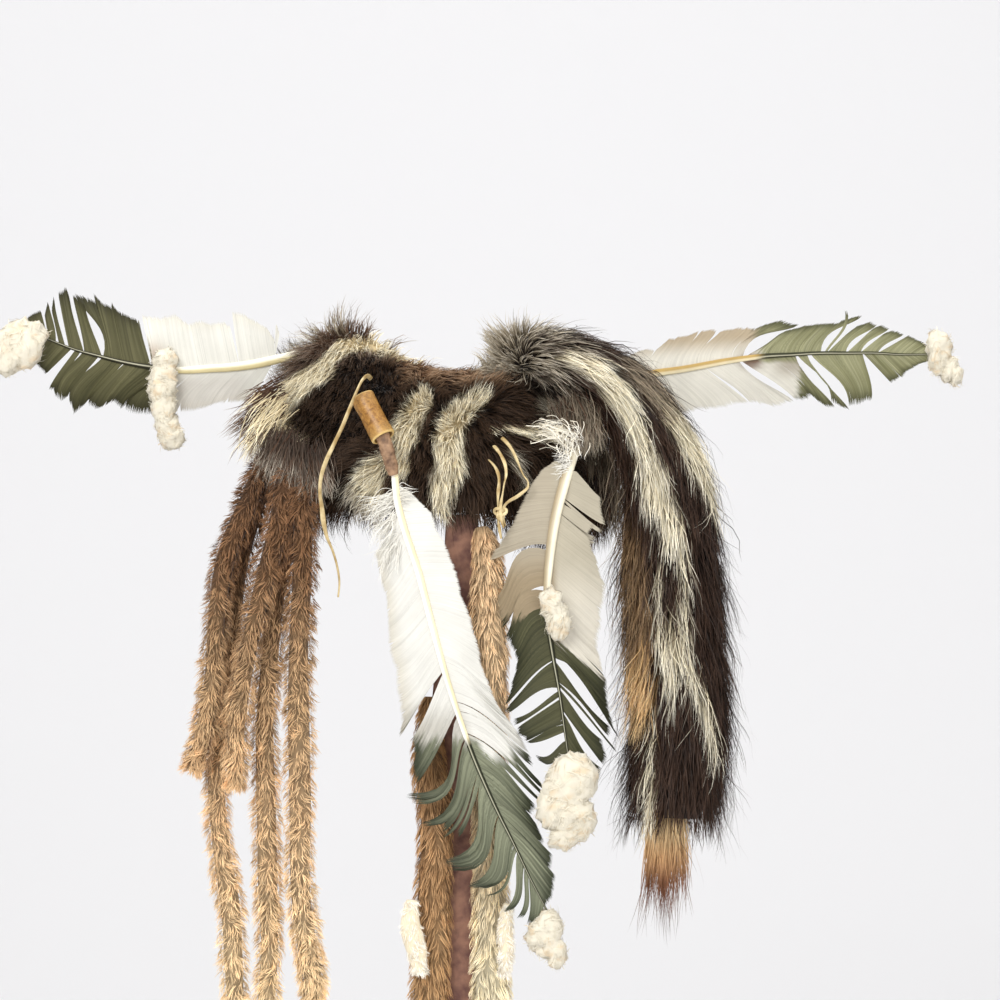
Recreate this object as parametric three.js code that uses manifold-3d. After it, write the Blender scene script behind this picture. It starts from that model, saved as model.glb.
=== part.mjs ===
// Feathered headdress: an open fur turban with a bushy tail, two feathers that stand out
// sideways, two that hang, twisted fur strips, a long pelt drop and rawhide ties.
// Millimetres, +Z up. The origin is the middle of the head opening in the plane of the
// turban's lower rim. -Y is the wearer's back, where everything hangs, and +X is the side
// that the tail is on.
import * as THREE from 'three';
import { mergeVertices } from 'three/addons/utils/BufferGeometryUtils.js';
import Module from 'manifold-3d';

const wasm = await Module();
wasm.setup();

// ---- Driving dimensions ----
const HEAD_HALF_WIDTH = 78; // inside of the hide ring along X
const HEAD_HALF_DEPTH = 97; // inside of the hide ring along Y
const HIDE_WALL = 2.5;
const CLEAR = 0.4; // gap between neighbouring pieces
const BAND_STATIONS = 26;
const BAND_REST_HEIGHT = 86; // top of the fur in front and behind
const FUR_DEPTH = 27; // pile of the turban, outwards from the hide
const RIM_COVER = 7; // how far the fur stands above the hide's top edge
const FEATHER_SHEET = 1.2; // thickness of a vane
const QUILL_RADIUS = 1.9;
const TUBE_OUTER_RADIUS = 7.8;
const TUBE_BORE_RADIUS = 6;
const THONG_DIAMETER = 3;
const LACE_DIAMETER = 2.2;
const CORD_SIDES = 8;

// ---- Small helpers ----
const vec = (x, y, z) => new THREE.Vector3(x, y, z);
const lerp = THREE.MathUtils.lerp;

// Turns rows of numbers into rows with named columns.
function table(columns, rows) {
  return rows.map((row) => Object.fromEntries(columns.map((name, i) => [name, row[i]])));
}

// Reads one column part of the way (0 to 1) down a table.
function read(rows, column, along) {
  const place = THREE.MathUtils.clamp(along, 0, 1) * (rows.length - 1);
  const row = Math.min(Math.floor(place), rows.length - 2);
  return lerp(rows[row][column], rows[row + 1][column], place - row);
}

// A repeatable scatter between -1 and 1 for lock number i.
function scatter(i, kind) {
  const value = Math.sin(i * 12.9898 + kind * 78.233) * 43758.5453;
  return 2 * (value - Math.floor(value)) - 1;
}

function routeOf(rows) {
  return new THREE.CatmullRomCurve3(rows.map((row) => vec(row.x, row.y, row.z)), false, 'centripetal');
}

// Closes a stack of rings, each with the same number of corners, into one body.
function skin(rings, joinEnds = false) {
  const sides = rings[0].length;
  const corners = rings.flat();
  const faces = [];
  const spans = joinEnds ? rings.length : rings.length - 1;
  for (let i = 0; i < spans; i += 1) {
    const near = i * sides;
    const far = ((i + 1) % rings.length) * sides;
    for (let j = 0; j < sides; j += 1) {
      const next = (j + 1) % sides;
      faces.push(near + j, near + next, far + next, near + j, far + next, far + j);
    }
  }
  if (!joinEnds) {
    for (const start of [0, (rings.length - 1) * sides]) {
      const centre = vec(0, 0, 0);
      for (let j = 0; j < sides; j += 1) centre.addScaledVector(corners[start + j], 1 / sides);
      const hub = corners.push(centre) - 1;
      for (let j = 0; j < sides; j += 1) {
        const next = (j + 1) % sides;
        if (start === 0) faces.push(hub, start + next, start + j);
        else faces.push(hub, start + j, start + next);
      }
    }
  }
  return solidFrom(corners, faces);
}

function signedVolume(corners, faces) {
  let total = 0;
  for (let i = 0; i < faces.length; i += 3) {
    const [a, b, c] = [corners[faces[i]], corners[faces[i + 1]], corners[faces[i + 2]]];
    total += a.dot(b.clone().cross(c)) / 6;
  }
  return total;
}

function solidFrom(corners, faces) {
  const outward = signedVolume(corners, faces) > 0 ? faces : faces.slice().reverse();
  const vertProperties = new Float32Array(corners.flatMap((corner) => corner.toArray()));
  return new wasm.Manifold(new wasm.Mesh({
    numProp: 3,
    vertProperties,
    triVerts: new Uint32Array(outward),
  }));
}

// Makes a manifold solid of a closed three.js geometry.
function solidOf(geometry) {
  const bare = geometry.clone();
  bare.deleteAttribute('normal');
  bare.deleteAttribute('uv');
  const merged = mergeVertices(bare, 1e-4);
  return new wasm.Manifold(new wasm.Mesh({
    numProp: 3,
    vertProperties: new Float32Array(merged.attributes.position.array),
    triVerts: new Uint32Array(merged.index.array),
  }));
}

function geometryOf(solid) {
  const mesh = solid.getMesh();
  const geometry = new THREE.BufferGeometry();
  geometry.setAttribute('position', new THREE.BufferAttribute(new Float32Array(mesh.vertProperties), 3));
  geometry.setIndex(new THREE.BufferAttribute(new Uint32Array(mesh.triVerts), 1));
  geometry.computeVertexNormals();
  return geometry;
}

const join = (solids) => wasm.Manifold.union(solids);

// Cuts the neighbours out of a soft piece and keeps its largest body.
function trimmed(solid, neighbours) {
  const cut = solid.subtract(join(neighbours));
  return cut.decompose().reduce((best, body) => (body.volume() > best.volume() ? body : best));
}

// The two cross directions of a hanging piece: "wide" lies in the hanging plane,
// "deep" points to the front of the head.
function crossAxes(along) {
  const deep = vec(0, 1, 0);
  deep.addScaledVector(along, -deep.dot(along)).normalize();
  return { wide: along.clone().cross(deep).normalize(), deep };
}

// Moves the first and last ring of a grown body outwards, so that its ends grow too.
function pushedEnd(centre, along, i, steps, grow) {
  if (i === 0) centre.addScaledVector(along, -grow);
  if (i === steps) centre.addScaledVector(along, grow);
  return centre;
}

// A limb with an oval section that follows the rows' x, y, z and has their halfWide and halfDeep.
// "shingles" makes it swell and draw in that many times, staggered round it, as lying locks do.
function limb(rows, { sides, steps, grow = 0, shingles = 0, proud = 0 }) {
  const route = routeOf(rows);
  const rings = [];
  for (let i = 0; i <= steps; i += 1) {
    const t = i / steps;
    const along = route.getTangent(t);
    const centre = pushedEnd(route.getPoint(t), along, i, steps, grow);
    const { wide, deep } = crossAxes(along);
    const halfWide = read(rows, 'halfWide', t) + grow;
    const halfDeep = read(rows, 'halfDeep', t) + grow;
    rings.push(Array.from({ length: sides }, (_, j) => {
      const angle = ((j + 0.5) / sides) * 2 * Math.PI;
      const phase = t * shingles + j * 0.37;
      const swell = shingles ? proud * (phase - Math.floor(phase) - 0.5) : 0;
      return centre.clone()
        .addScaledVector(wide, (halfWide + swell) * Math.cos(angle))
        .addScaledVector(deep, (halfDeep + swell) * Math.sin(angle));
    }));
  }
  return skin(rings);
}

// One pointed lock of hair: its root is sunk in the core, and it lies along "lay".
function lock({ root, lay, out, length, width, thick, lift, grow = 0 }) {
  const across = lay.clone().cross(out).normalize();
  const ring = (centre, half, depth) => [
    centre.clone().addScaledVector(across, half + 2 * grow).addScaledVector(out, -depth - grow),
    centre.clone().addScaledVector(out, depth + 2 * grow),
    centre.clone().addScaledVector(across, -half - 2 * grow).addScaledVector(out, -depth - grow),
  ];
  const heel = root.clone().addScaledVector(out, -thick).addScaledVector(lay, -length * 0.1);
  const belly = root.clone().addScaledVector(lay, length * 0.45).addScaledVector(out, lift * 0.6);
  const tip = root.clone().addScaledVector(lay, length + 3 * grow).addScaledVector(out, lift);
  const corners = [...ring(heel, width * 0.4, thick * 0.6), ...ring(belly, width * 0.5, thick * 0.5), tip];
  const faces = [0, 2, 1];
  for (let j = 0; j < 3; j += 1) {
    const next = (j + 1) % 3;
    faces.push(j, next, 3 + next, j, 3 + next, 3 + j, 3 + j, 3 + next, 6);
  }
  return solidFrom(corners, faces);
}

// Locks all round a limb, in rings that alternate. Each lies down the limb.
function limbLocks(rows, spec, grow = 0) {
  const route = routeOf(rows);
  const locks = [];
  for (let i = 0; i < spec.rings; i += 1) {
    const t = lerp(spec.from, spec.to, (i + 0.5) / spec.rings);
    const centre = route.getPoint(t);
    const along = route.getTangent(t);
    const { wide, deep } = crossAxes(along);
    const halfWide = read(rows, 'halfWide', t);
    const halfDeep = read(rows, 'halfDeep', t);
    for (let j = 0; j < spec.perRing; j += 1) {
      const number = i * spec.perRing + j;
      const angle = ((j + 0.5 * (i % 2)) / spec.perRing) * 2 * Math.PI + 0.3 * scatter(number, 1);
      const out = wide.clone().multiplyScalar(Math.cos(angle)).addScaledVector(deep, Math.sin(angle));
      const root = centre.clone()
        .addScaledVector(wide, halfWide * 0.86 * Math.cos(angle))
        .addScaledVector(deep, halfDeep * 0.86 * Math.sin(angle));
      locks.push(lock({
        root,
        lay: along,
        out,
        length: spec.length * (1 + 0.3 * scatter(number, 2)),
        width: spec.width,
        thick: spec.thick,
        lift: spec.lift * (1 + 0.4 * scatter(number, 3)),
        grow,
      }));
    }
  }
  return locks;
}

// ---- The turban ----
// Height of the fur's top edge round the ring: a hump on the left, a lower one on the right.
function bandTop(angle) {
  const leftHump = Math.exp(-(((angle - 3.95) / 0.5) ** 2));
  const rightHump = Math.exp(-(((angle - 5.35) / 0.42) ** 2));
  const leftSide = Math.exp(-(((angle - 3.1) / 0.55) ** 2));
  return BAND_REST_HEIGHT + 27 * leftHump + 8 * rightHump + 14 * leftSide;
}

// A point outside the hide's outer face by "out" at a height, round the ring.
function onBand(angle, out, height) {
  const halfWidth = HEAD_HALF_WIDTH + HIDE_WALL + out;
  const halfDepth = HEAD_HALF_DEPTH + HIDE_WALL + out;
  return vec(halfWidth * Math.cos(angle), halfDepth * Math.sin(angle), height);
}

// A ring whose section is a list of [out, height] corners worked out at each angle.
function bandRing(sectionAt) {
  return skin(Array.from({ length: BAND_STATIONS }, (_, i) => {
    const angle = (i / BAND_STATIONS) * 2 * Math.PI;
    return sectionAt(angle).map(([out, height]) => onBand(angle, out, height));
  }), true);
}

function peltBand() {
  return bandRing((angle) => {
    const top = bandTop(angle) - RIM_COVER;
    return [[-HIDE_WALL, 0], [0, 0], [0, top], [-HIDE_WALL, top]];
  });
}

// Section of the fur: [share of the pile outwards, share of the height].
const FUR_SECTION = [[0.5, -0.02], [0.95, 0.14], [1, 0.55], [0.76, 0.84], [0.25, 1]];

// Rows of locks up the fur: how many, their height and depth shares, length, width and lift,
// and "fall": 1 hangs down, -1 stands up.
const BAND_LOCKS = table(['count', 'height', 'depth', 'length', 'width', 'lift', 'fall'], [
  [14, 0.12, 0.8, 28, 30, 5, 1],
  [12, 0.42, 0.95, 40, 32, 7, 1],
  [12, 0.72, 0.85, 40, 30, 7, 1],
  [10, 0.93, 0.45, 20, 24, 5, -1],
]);

function bandFur() {
  const shell = bandRing((angle) => {
    const top = bandTop(angle);
    const outside = FUR_SECTION.map(([depth, height]) => [depth * FUR_DEPTH, height * top]);
    const rim = top - RIM_COVER + CLEAR;
    return [[CLEAR, 1], ...outside, [-HIDE_WALL, top - 2], [-HIDE_WALL, rim], [CLEAR, rim]];
  });
  const locks = BAND_LOCKS.flatMap((row, tier) => Array.from({ length: row.count }, (_, i) => {
    const number = tier * 50 + i;
    const angle = ((i + 0.5 * (tier % 2) + 0.3 * scatter(number, 4)) / row.count) * 2 * Math.PI;
    const root = onBand(angle, row.depth * FUR_DEPTH, row.height * bandTop(angle));
    const out = onBand(angle, 1, 0).sub(onBand(angle, 0, 0)).normalize();
    const swing = 0.35 * scatter(number, 5);
    const sideways = vec(-Math.sin(angle), Math.cos(angle), 0);
    const lay = vec(0, 0, -row.fall).addScaledVector(sideways, swing).normalize();
    return lock({
      root,
      lay,
      out,
      length: row.length * (1 + 0.25 * scatter(number, 6)),
      width: row.width,
      thick: 6,
      lift: row.lift,
    });
  }));
  return join([shell, ...locks]);
}

// ---- Feathers ----
// Each row is a point on the shaft, with the vane's reach to each side of it. "left" and
// "right" are those of a hanging feather: turned out to the left its left side is the upper
// one, and turned out to the right its left side is the lower one.
const SHAFT = ['x', 'y', 'z', 'left', 'right'];
const SIDE_FEATHER_LEFT = table(SHAFT, [
  [-108, -22, 94, 4, 6],
  [-121, -22, 91, 23, 16],
  [-136, -22, 89, 38, 20],
  [-151, -23, 88, 33, 22],
  [-168, -24, 87, 37, 24],
  [-188, -25, 89, 38, 26],
  [-205, -25, 92, 33, 32],
  [-221, -26, 96, 38, 29],
  [-236, -27, 100, 38, 38],
  [-249, -28, 105, 37, 41],
  [-259, -29, 109, 27, 32],
  [-265, -30, 112, 12, 14],
]);
const SIDE_FEATHER_RIGHT = table(SHAFT, [
  [112, -22, 80, 4, 4],
  [122, -22, 82, 14, 16],
  [137, -22, 85, 20, 20],
  [158, -23, 88, 25, 24],
  [185, -24, 93, 29, 24],
  [208, -25, 96, 31, 23],
  [226, -26, 97, 31, 23],
  [244, -27, 98, 29, 21],
  [262, -28, 98, 38, 23],
  [280, -29, 98, 34, 27],
  [296, -30, 97, 18, 21],
  [310, -31, 97, 11, 11],
  [318, -32, 97, 4, 4],
]);
const HANGING_FEATHER_LONG = table(SHAFT, [
  [-27, -137, 12, 3, 4],
  [-26, -138, 2, 12, 13],
  [-21, -140, -17, 19, 21],
  [-13, -142, -41, 26, 22],
  [-5, -144, -72, 27, 24],
  [4, -146, -105, 29, 24],
  [13, -147, -133, 32, 31],
  [23, -148, -160, 36, 34],
  [35, -149, -187, 36, 28],
  [47, -150, -211, 31, 22],
  [57, -150, -232, 23, 13],
  [67, -150, -251, 7, 4],
]);
const HANGING_FEATHER_SHORT = table(SHAFT, [
  [82, -124, 26, 5, 3],
  [78, -126, 14, 20, 12],
  [73, -129, -5, 24, 26],
  [70, -131, -22, 30, 28],
  [68, -133, -40, 33, 32],
  [67, -135, -56, 32, 36],
  [68, -137, -75, 28, 33],
  [71, -139, -95, 25, 30],
  [75, -141, -118, 31, 33],
  [78, -143, -140, 28, 34],
  [80, -145, -155, 21, 27],
  [81, -146, -165, 8, 12],
]);

// The bare quill above the vane, out to the end that is hidden in the fur or in its wrapping.
const QUILL = ['x', 'y', 'z', 'halfWide', 'halfDeep'];
const QUILLS = {
  sideLeft: table(QUILL, [[-86, -21, 99, 1.9, 1.9], [-98, -22, 96, 1.9, 1.9], [-112, -22, 93, 1.6, 1.6]]),
  sideRight: table(QUILL, [[86, -21, 76, 1.9, 1.9], [100, -22, 78, 1.9, 1.9], [115, -22, 80.5, 1.6, 1.6]]),
  long: table(QUILL, [[-31, -137, 33, 1.9, 1.9], [-28, -137, 21, 1.9, 1.9], [-26.6, -137.5, 8, 1.6, 1.6]]),
  short: table(QUILL, [[84, -94, 56, 1.9, 1.9], [86, -113, 42, 1.9, 1.9], [81.2, -124.5, 23, 1.6, 1.6]]),
};

// Where barbs have parted: place along the shaft, side (1 left, -1 right), how deep the
// gap runs towards the shaft, how far it slants to the tip, and its width at the edge.
const GAP_COLUMNS = ['place', 'side', 'depth', 'slant', 'width'];
const GAPS = {
  sideLeft: table(GAP_COLUMNS, [
    [0.6, 1, 0.75, 12, 4],
    [0.7, -1, 0.8, 16, 5],
    [0.76, 1, 0.7, 12, 5],
    [0.8, -1, 0.85, 16, 5],
    [0.9, 1, 0.75, 8, 4],
  ]),
  sideRight: table(GAP_COLUMNS, [
    [0.5, -1, 0.8, 12, 4],
    [0.6, 1, 0.7, 16, 4],
    [0.7, 1, 0.8, 16, 7],
    [0.8, 1, 0.7, 14, 6],
    [0.84, -1, 0.7, 10, 3],
  ]),
  long: table(GAP_COLUMNS, [
    [0.64, 1, 0.7, 20, 6],
    [0.72, 1, 0.7, 20, 6],
    [0.74, -1, 0.6, 16, 5],
    [0.81, 1, 0.7, 18, 5],
    [0.85, -1, 0.6, 14, 4],
  ]),
  short: table(GAP_COLUMNS, [
    [0.28, -1, 0.6, 10, 5],
    [0.5, 1, 0.45, 14, 7],
    [0.68, -1, 0.8, 20, 6],
    [0.72, 1, 0.7, 16, 4],
    [0.8, -1, 0.8, 18, 5],
    [0.82, 1, 0.8, 14, 5],
  ]),
};

// The vane and shaft in one sheet, cupped a little to the front, thick at the shaft.
function vane(rows, bend, grow) {
  const route = routeOf(rows);
  const steps = rows.length - 1;
  const half = FEATHER_SHEET / 2 + grow;
  const rings = [];
  for (let i = 0; i <= steps; i += 1) {
    const t = i / steps;
    const along = route.getTangent(t);
    const { wide, deep } = crossAxes(along);
    const shaft = lerp(1.7, 0.7, t);
    const reach = [-read(rows, 'left', t) - grow, read(rows, 'right', t) + grow];
    const centre = pushedEnd(route.getPoint(t), along, i, steps, grow);
    const point = (across, depth) => centre.clone()
      .addScaledVector(wide, across)
      .addScaledVector(deep, depth + bend * across * across * 0.004);
    const middle = reach.map((edge) => (edge + Math.sign(edge) * (shaft + grow)) / 2);
    rings.push([
      point(reach[0], -half),
      point(middle[0], -half),
      point(0, -half - shaft * 0.7),
      point(middle[1], -half),
      point(reach[1], -half),
      point(reach[1], half),
      point(middle[1], half),
      point(0, half + shaft * 0.5),
      point(middle[0], half),
      point(reach[0], half),
    ]);
  }
  return skin(rings);
}

// A wedge that runs from beyond the vane's edge towards the shaft.
function gapWedge(rows, gap) {
  const route = routeOf(rows);
  const along = route.getTangent(gap.place);
  const { wide } = crossAxes(along);
  const reach = gap.side > 0 ? -read(rows, 'left', gap.place) : read(rows, 'right', gap.place);
  const shaftPoint = route.getPoint(gap.place);
  const flat = (across, forward) => {
    const point = shaftPoint.clone().addScaledVector(wide, across).addScaledVector(along, forward);
    return new THREE.Vector2(point.x, point.z);
  };
  const inner = reach * (1 - gap.depth);
  const outer = reach * 1.25;
  const outline = new THREE.Shape([
    flat(inner, gap.slant * (1 - gap.depth)),
    flat(outer, gap.slant * 1.25 - gap.width * 0.65),
    flat(outer, gap.slant * 1.25 + gap.width * 0.65),
  ]);
  const block = new THREE.ExtrudeGeometry(outline, { depth: 60, bevelEnabled: false });
  block.rotateX(Math.PI / 2);
  block.translate(0, shaftPoint.y + 30, 0);
  return solidOf(block);
}

function feather(rows, quill, gaps, bend, grow = 0) {
  const whole = join([
    vane(rows, bend, grow),
    limb(quill, { sides: 6, steps: 4, grow }),
  ]);
  if (grow > 0) return whole;
  return trimmed(whole, gaps.map((gap) => gapWedge(rows, gap)));
}

// ---- Wool and down tufts ----
// Each lobe of a tuft is a small rounded lump.
const LOBE = ['x', 'y', 'z', 'halfX', 'halfY', 'halfZ'];
const TUFTS = {
  tuft_left_tip: table(LOBE, [
    [-271, -36, 103, 15, 10, 18],
    [-282, -36, 97, 11, 9, 15],
    [-262, -37, 110, 9, 6, 9],
  ]),
  tuft_left_middle: table(LOBE, [
    [-178, -30, 92, 9, 6, 9],
    [-180, -31, 75, 10, 6, 12],
    [-178, -31, 55, 7, 5, 13],
    [-174, -31, 43, 9, 5, 8],
  ]),
  tuft_right_tip: table(LOBE, [
    [320, -33, 103, 9, 7, 10],
    [321, -33, 91, 8, 6, 9],
    [331, -33, 84, 5, 5, 9],
  ]),
  tuft_short_middle: table(LOBE, [
    [70, -142, -60, 8, 5, 9],
    [74, -143, -73, 8, 5, 12],
  ]),
  tuft_short_tip: table(LOBE, [
    [83, -150, -170, 17, 10, 18],
    [72, -151, -188, 13, 9, 15],
    [86, -150, -194, 12, 9, 16],
    [76, -150, -206, 9, 7, 9],
  ]),
  tuft_long_tip: table(LOBE, [
    [68, -150, -263, 10, 6, 13],
    [62, -150, -268, 10, 6, 9],
    [73, -150, -277, 7, 5, 11],
  ]),
};

function tuft(lobes) {
  return join(lobes.map((lobe, i) => {
    const lump = new THREE.SphereGeometry(1, 6, 4);
    lump.rotateX(Math.PI / 2);
    lump.scale(lobe.halfX, lobe.halfY, lobe.halfZ);
    lump.rotateY(0.5 * scatter(i, 7));
    lump.translate(lobe.x, lobe.y, lobe.z);
    return solidOf(lump);
  }));
}

// ---- Tube, wrapping and ties ----
const TUBE_TOP = vec(-48.3, -131.5, 67.6);
const TUBE_FOOT = vec(-34.5, -141.5, 42);

function boneTube(grow = 0) {
  const length = TUBE_TOP.distanceTo(TUBE_FOOT);
  const outer = TUBE_OUTER_RADIUS + grow;
  const bore = TUBE_BORE_RADIUS - grow;
  const profile = [
    [bore, -grow], [outer, -grow], [outer - 0.6, length * 0.5], [outer, length + grow],
    [bore, length + grow], [bore, -grow],
  ].map(([radius, height]) => new THREE.Vector2(radius, height));
  const tube = new THREE.LatheGeometry(profile, 14);
  const axis = TUBE_TOP.clone().sub(TUBE_FOOT).normalize();
  tube.applyQuaternion(new THREE.Quaternion().setFromUnitVectors(vec(0, 1, 0), axis));
  tube.translate(TUBE_FOOT.x, TUBE_FOOT.y, TUBE_FOOT.z);
  return solidOf(tube);
}

// Leather wound round the quill: ribbed where it shows, and wider inside the tube.
const QUILL_WRAP = table(QUILL, [
  [-45, -134, 61.5, 4.2, 4.2],
  [-39.6, -137.9, 51.5, 4.6, 4.6],
  [-35.7, -140.7, 44, 4.6, 4.6],
  [-33.7, -141.7, 39, 4.3, 4.3],
  [-32.3, -141.3, 34, 4.5, 4.5],
  [-30.9, -140.2, 29, 4, 4],
  [-29.6, -139, 24, 4, 4],
  [-28.4, -138, 19, 3, 3],
]);

// Places of the free rawhide ties, from where they leave the fur to their loose ends.
const PLACE = ['x', 'y', 'z'];
const THONG_ROUTE = table(PLACE, [
  [-43, -122, 79], [-45, -130, 80.5], [-48, -138, 77.5], [-51.5, -143, 70], [-55.5, -144.5, 60],
  [-60, -144.5, 49], [-65, -143.5, 38.5], [-70, -142, 28], [-73.3, -140.5, 18], [-74.2, -138.5, 8],
  [-73, -136.5, -2], [-72, -135, -11], [-70, -133.5, -20], [-66.5, -132, -28.5], [-63.8, -131, -38],
  [-62.4, -130, -48], [-63.2, -129.5, -57.5],
]);
const LACE_LEFT_ROUTE = table(PLACE, [
  [31, -124, 28], [33, -128, 26], [35.5, -131, 22.5], [37, -133, 18], [37.2, -133.5, 13],
  [36.7, -134, 8], [36.5, -134.2, 3], [36.6, -134.3, -4], [36.8, -134.3, -10], [37.6, -134.2, -15.5],
  [38.5, -134, -21],
]);
const LACE_MIDDLE_ROUTE = table(PLACE, [
  [34, -124, 37], [36.5, -128, 34], [39, -131, 30], [41, -133.5, 25], [41.6, -135, 19],
  [40.4, -136, 13], [39.4, -137, 7], [38.3, -137.1, 1], [38.1, -136.9, -4.5], [38.7, -136.7, -9.5],
  [40.2, -136, -14],
]);
const LACE_RIGHT_ROUTE = table(PLACE, [
  [39, -123, 42], [42, -127, 39], [45, -130, 35], [47.5, -132, 30], [50, -133, 24],
  [52.5, -133, 18.5], [55, -133, 15], [55, -133, 11], [52, -133, 8], [48.3, -133.2, 5.2],
  [44, -133.7, 2.8], [40.9, -134.1, 0], [39.6, -134.3, -4], [39.9, -134.3, -8.5], [41.4, -134, -13],
]);

function tie(rows, diameter, grow = 0) {
  const radius = diameter / 2 + grow;
  const section = new THREE.Shape(Array.from({ length: CORD_SIDES }, (_, i) => {
    const angle = (i / CORD_SIDES) * 2 * Math.PI;
    return new THREE.Vector2(radius * Math.cos(angle), radius * Math.sin(angle));
  }));
  const route = routeOf(rows);
  const steps = Math.round(route.getLength() / (diameter * 3));
  return solidOf(new THREE.ExtrudeGeometry(section, { steps, extrudePath: route, bevelEnabled: false }));
}

// The overhand knot's outside, a flat ring that the three laces run through.
function laceKnot() {
  const profile = [[3.5, -2], [5.2, -1.4], [5.2, 1.4], [3.5, 2], [3.5, -2]]
    .map(([radius, height]) => new THREE.Vector2(radius, height));
  const ring = new THREE.LatheGeometry(profile, 10);
  ring.rotateX(Math.PI / 2);
  ring.translate(38.1, -135.1, -5);
  return solidOf(ring);
}

// ---- Tail, fur strips and pelt drop ----
const TAIL = table(QUILL, [
  [38, -106, 92, 12, 11],
  [58, -108, 95, 16, 15],
  [82, -108, 91, 19, 18],
  [110, -104, 76, 22, 20],
  [131, -100, 48, 27, 23],
  [144, -96, 10, 31, 25],
  [146, -94, -40, 35, 27],
  [149, -92, -90, 34, 27],
  [152, -90, -135, 33, 26],
  [149, -90, -175, 29, 24],
  [147, -90, -212, 18, 16],
  [146, -90, -250, 11, 10],
  [147, -90, -276, 4, 4],
]);
const TAIL_LOCKS = { from: 0.06, to: 0.93, rings: 7, perRing: 4, length: 62, width: 24, thick: 6, lift: 5 };

function tail(grow = 0) {
  return join([
    limb(TAIL, { sides: 8, steps: 14, grow }),
    ...limbLocks(TAIL, TAIL_LOCKS, grow),
  ]);
}

const FUR_STRIPS = [
  table(QUILL, [
    [-98, -72, 34, 5, 5],
    [-112, -84, 22, 8, 6],
    [-121, -90, 2, 9, 6],
    [-135, -94, -33, 9, 6],
    [-141, -94, -70, 8, 6],
    [-143, -94, -105, 8, 6],
    [-147, -94, -132, 8, 6],
    [-152, -94, -155, 8, 6],
    [-157, -96, -168, 5, 5],
  ]),
  table(QUILL, [
    [-96, -62, 30, 5, 5],
    [-111, -70, 18, 8, 6],
    [-117, -77, 0, 8, 6],
    [-128, -80, -40, 8, 6],
    [-132, -80, -80, 8, 6],
    [-136, -80, -125, 8, 6],
    [-142, -82, -170, 8, 6],
    [-139, -84, -215, 8, 6],
    [-133, -84, -255, 9, 6],
    [-130, -84, -310, 8, 6],
    [-128, -84, -345, 5, 4],
  ]),
  table(QUILL, [
    [-86, -88, 26, 5, 4],
    [-97, -104, 14, 8, 5],
    [-101, -106, -10, 9, 6],
    [-108, -106, -40, 9, 6],
    [-117, -105, -75, 8, 6],
    [-124, -104, -110, 8, 6],
    [-128, -104, -140, 8, 6],
    [-128, -104, -165, 7, 6],
    [-129, -104, -178, 4, 4],
  ]),
  table(QUILL, [
    [-84, -78, 24, 5, 4],
    [-94, -92, 8, 8, 5],
    [-97, -92, -20, 9, 5],
    [-104, -92, -60, 8, 6],
    [-108, -91, -100, 8, 6],
    [-111, -90, -140, 8, 6],
    [-110, -90, -190, 9, 6],
    [-109, -90, -240, 9, 6],
    [-108, -90, -280, 8, 6],
    [-111, -90, -330, 8, 6],
    [-113, -90, -352, 5, 4],
  ]),
  table(QUILL, [
    [-76, -92, 22, 5, 4],
    [-86, -106, 8, 8, 6],
    [-86, -106, -15, 9, 7],
    [-87, -104, -50, 9, 7],
    [-89, -102, -90, 9, 7],
    [-89, -102, -135, 10, 7],
    [-88, -102, -190, 10, 7],
    [-88, -102, -240, 9, 7],
    [-84, -102, -275, 9, 6],
    [-80, -102, -300, 8, 6],
    [-80, -102, -314, 4, 4],
  ]),
];
const STRIP_LOCKS = { from: 0.08, to: 0.97, perRing: 1, length: 30, width: 12, thick: 4, lift: 3.5 };
const STRIP_LOCK_SPACING = 70;
const SHINGLE_SPACING = 26;

function furStrip(rows, grow = 0) {
  const length = routeOf(rows).getLength();
  const rings = Math.round(length / STRIP_LOCK_SPACING);
  const shingles = length / SHINGLE_SPACING;
  return join([
    limb(rows, { sides: 6, steps: Math.round(shingles * 1.3), grow, shingles, proud: 3 }),
    ...limbLocks(rows, { ...STRIP_LOCKS, rings }, grow),
  ]);
}

// The hide of the drop is one flat strip, wide enough to carry both furs.
const DROP_HIDE = table(QUILL, [
  [14, -108, -6, 10, 1],
  [14, -110, -40, 12, 1],
  [16, -112, -90, 18, 1],
  [15, -113, -150, 22, 1],
  [14, -114, -220, 25, 1],
  [13, -114, -290, 25, 1],
  [13, -114, -346, 22, 1],
]);
const DROP_FUR_LEFT = table(QUILL, [
  [-6, -118, -120, 4, 4],
  [-7, -120, -158, 11, 6],
  [-3, -121, -200, 11, 6],
  [-4, -121, -240, 12, 6],
  [-6, -121, -290, 13, 6],
  [-6, -121, -330, 11, 6],
  [-5, -120, -352, 5, 4],
]);
const DROP_FUR_RIGHT = table(QUILL, [
  [26, -114, -14, 5, 4],
  [30, -118, -36, 10, 6],
  [31, -119, -80, 13, 6],
  [31, -120, -130, 13, 6],
  [31, -121, -190, 11, 6],
  [32, -121, -240, 12, 6],
  [32, -121, -290, 13, 6],
  [32, -121, -330, 12, 6],
  [31, -120, -352, 5, 4],
]);
const ERMINE_LEFT = table(QUILL, [
  [-17, -134, -246, 5, 4], [-18, -134, -262, 9, 5], [-14, -134, -278, 9, 5], [-12, -134, -292, 5, 4],
]);
const ERMINE_RIGHT = table(QUILL, [
  [43, -134, -248, 4, 4], [41, -134, -264, 7, 5], [42, -134, -280, 6, 5], [40, -134, -293, 3, 3],
]);

const DROP_LOCKS = { from: 0.06, to: 0.95, perRing: 1, length: 34, width: 15, thick: 4, lift: 3 };
const DROP_LOCK_SPACING = 60;

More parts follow.
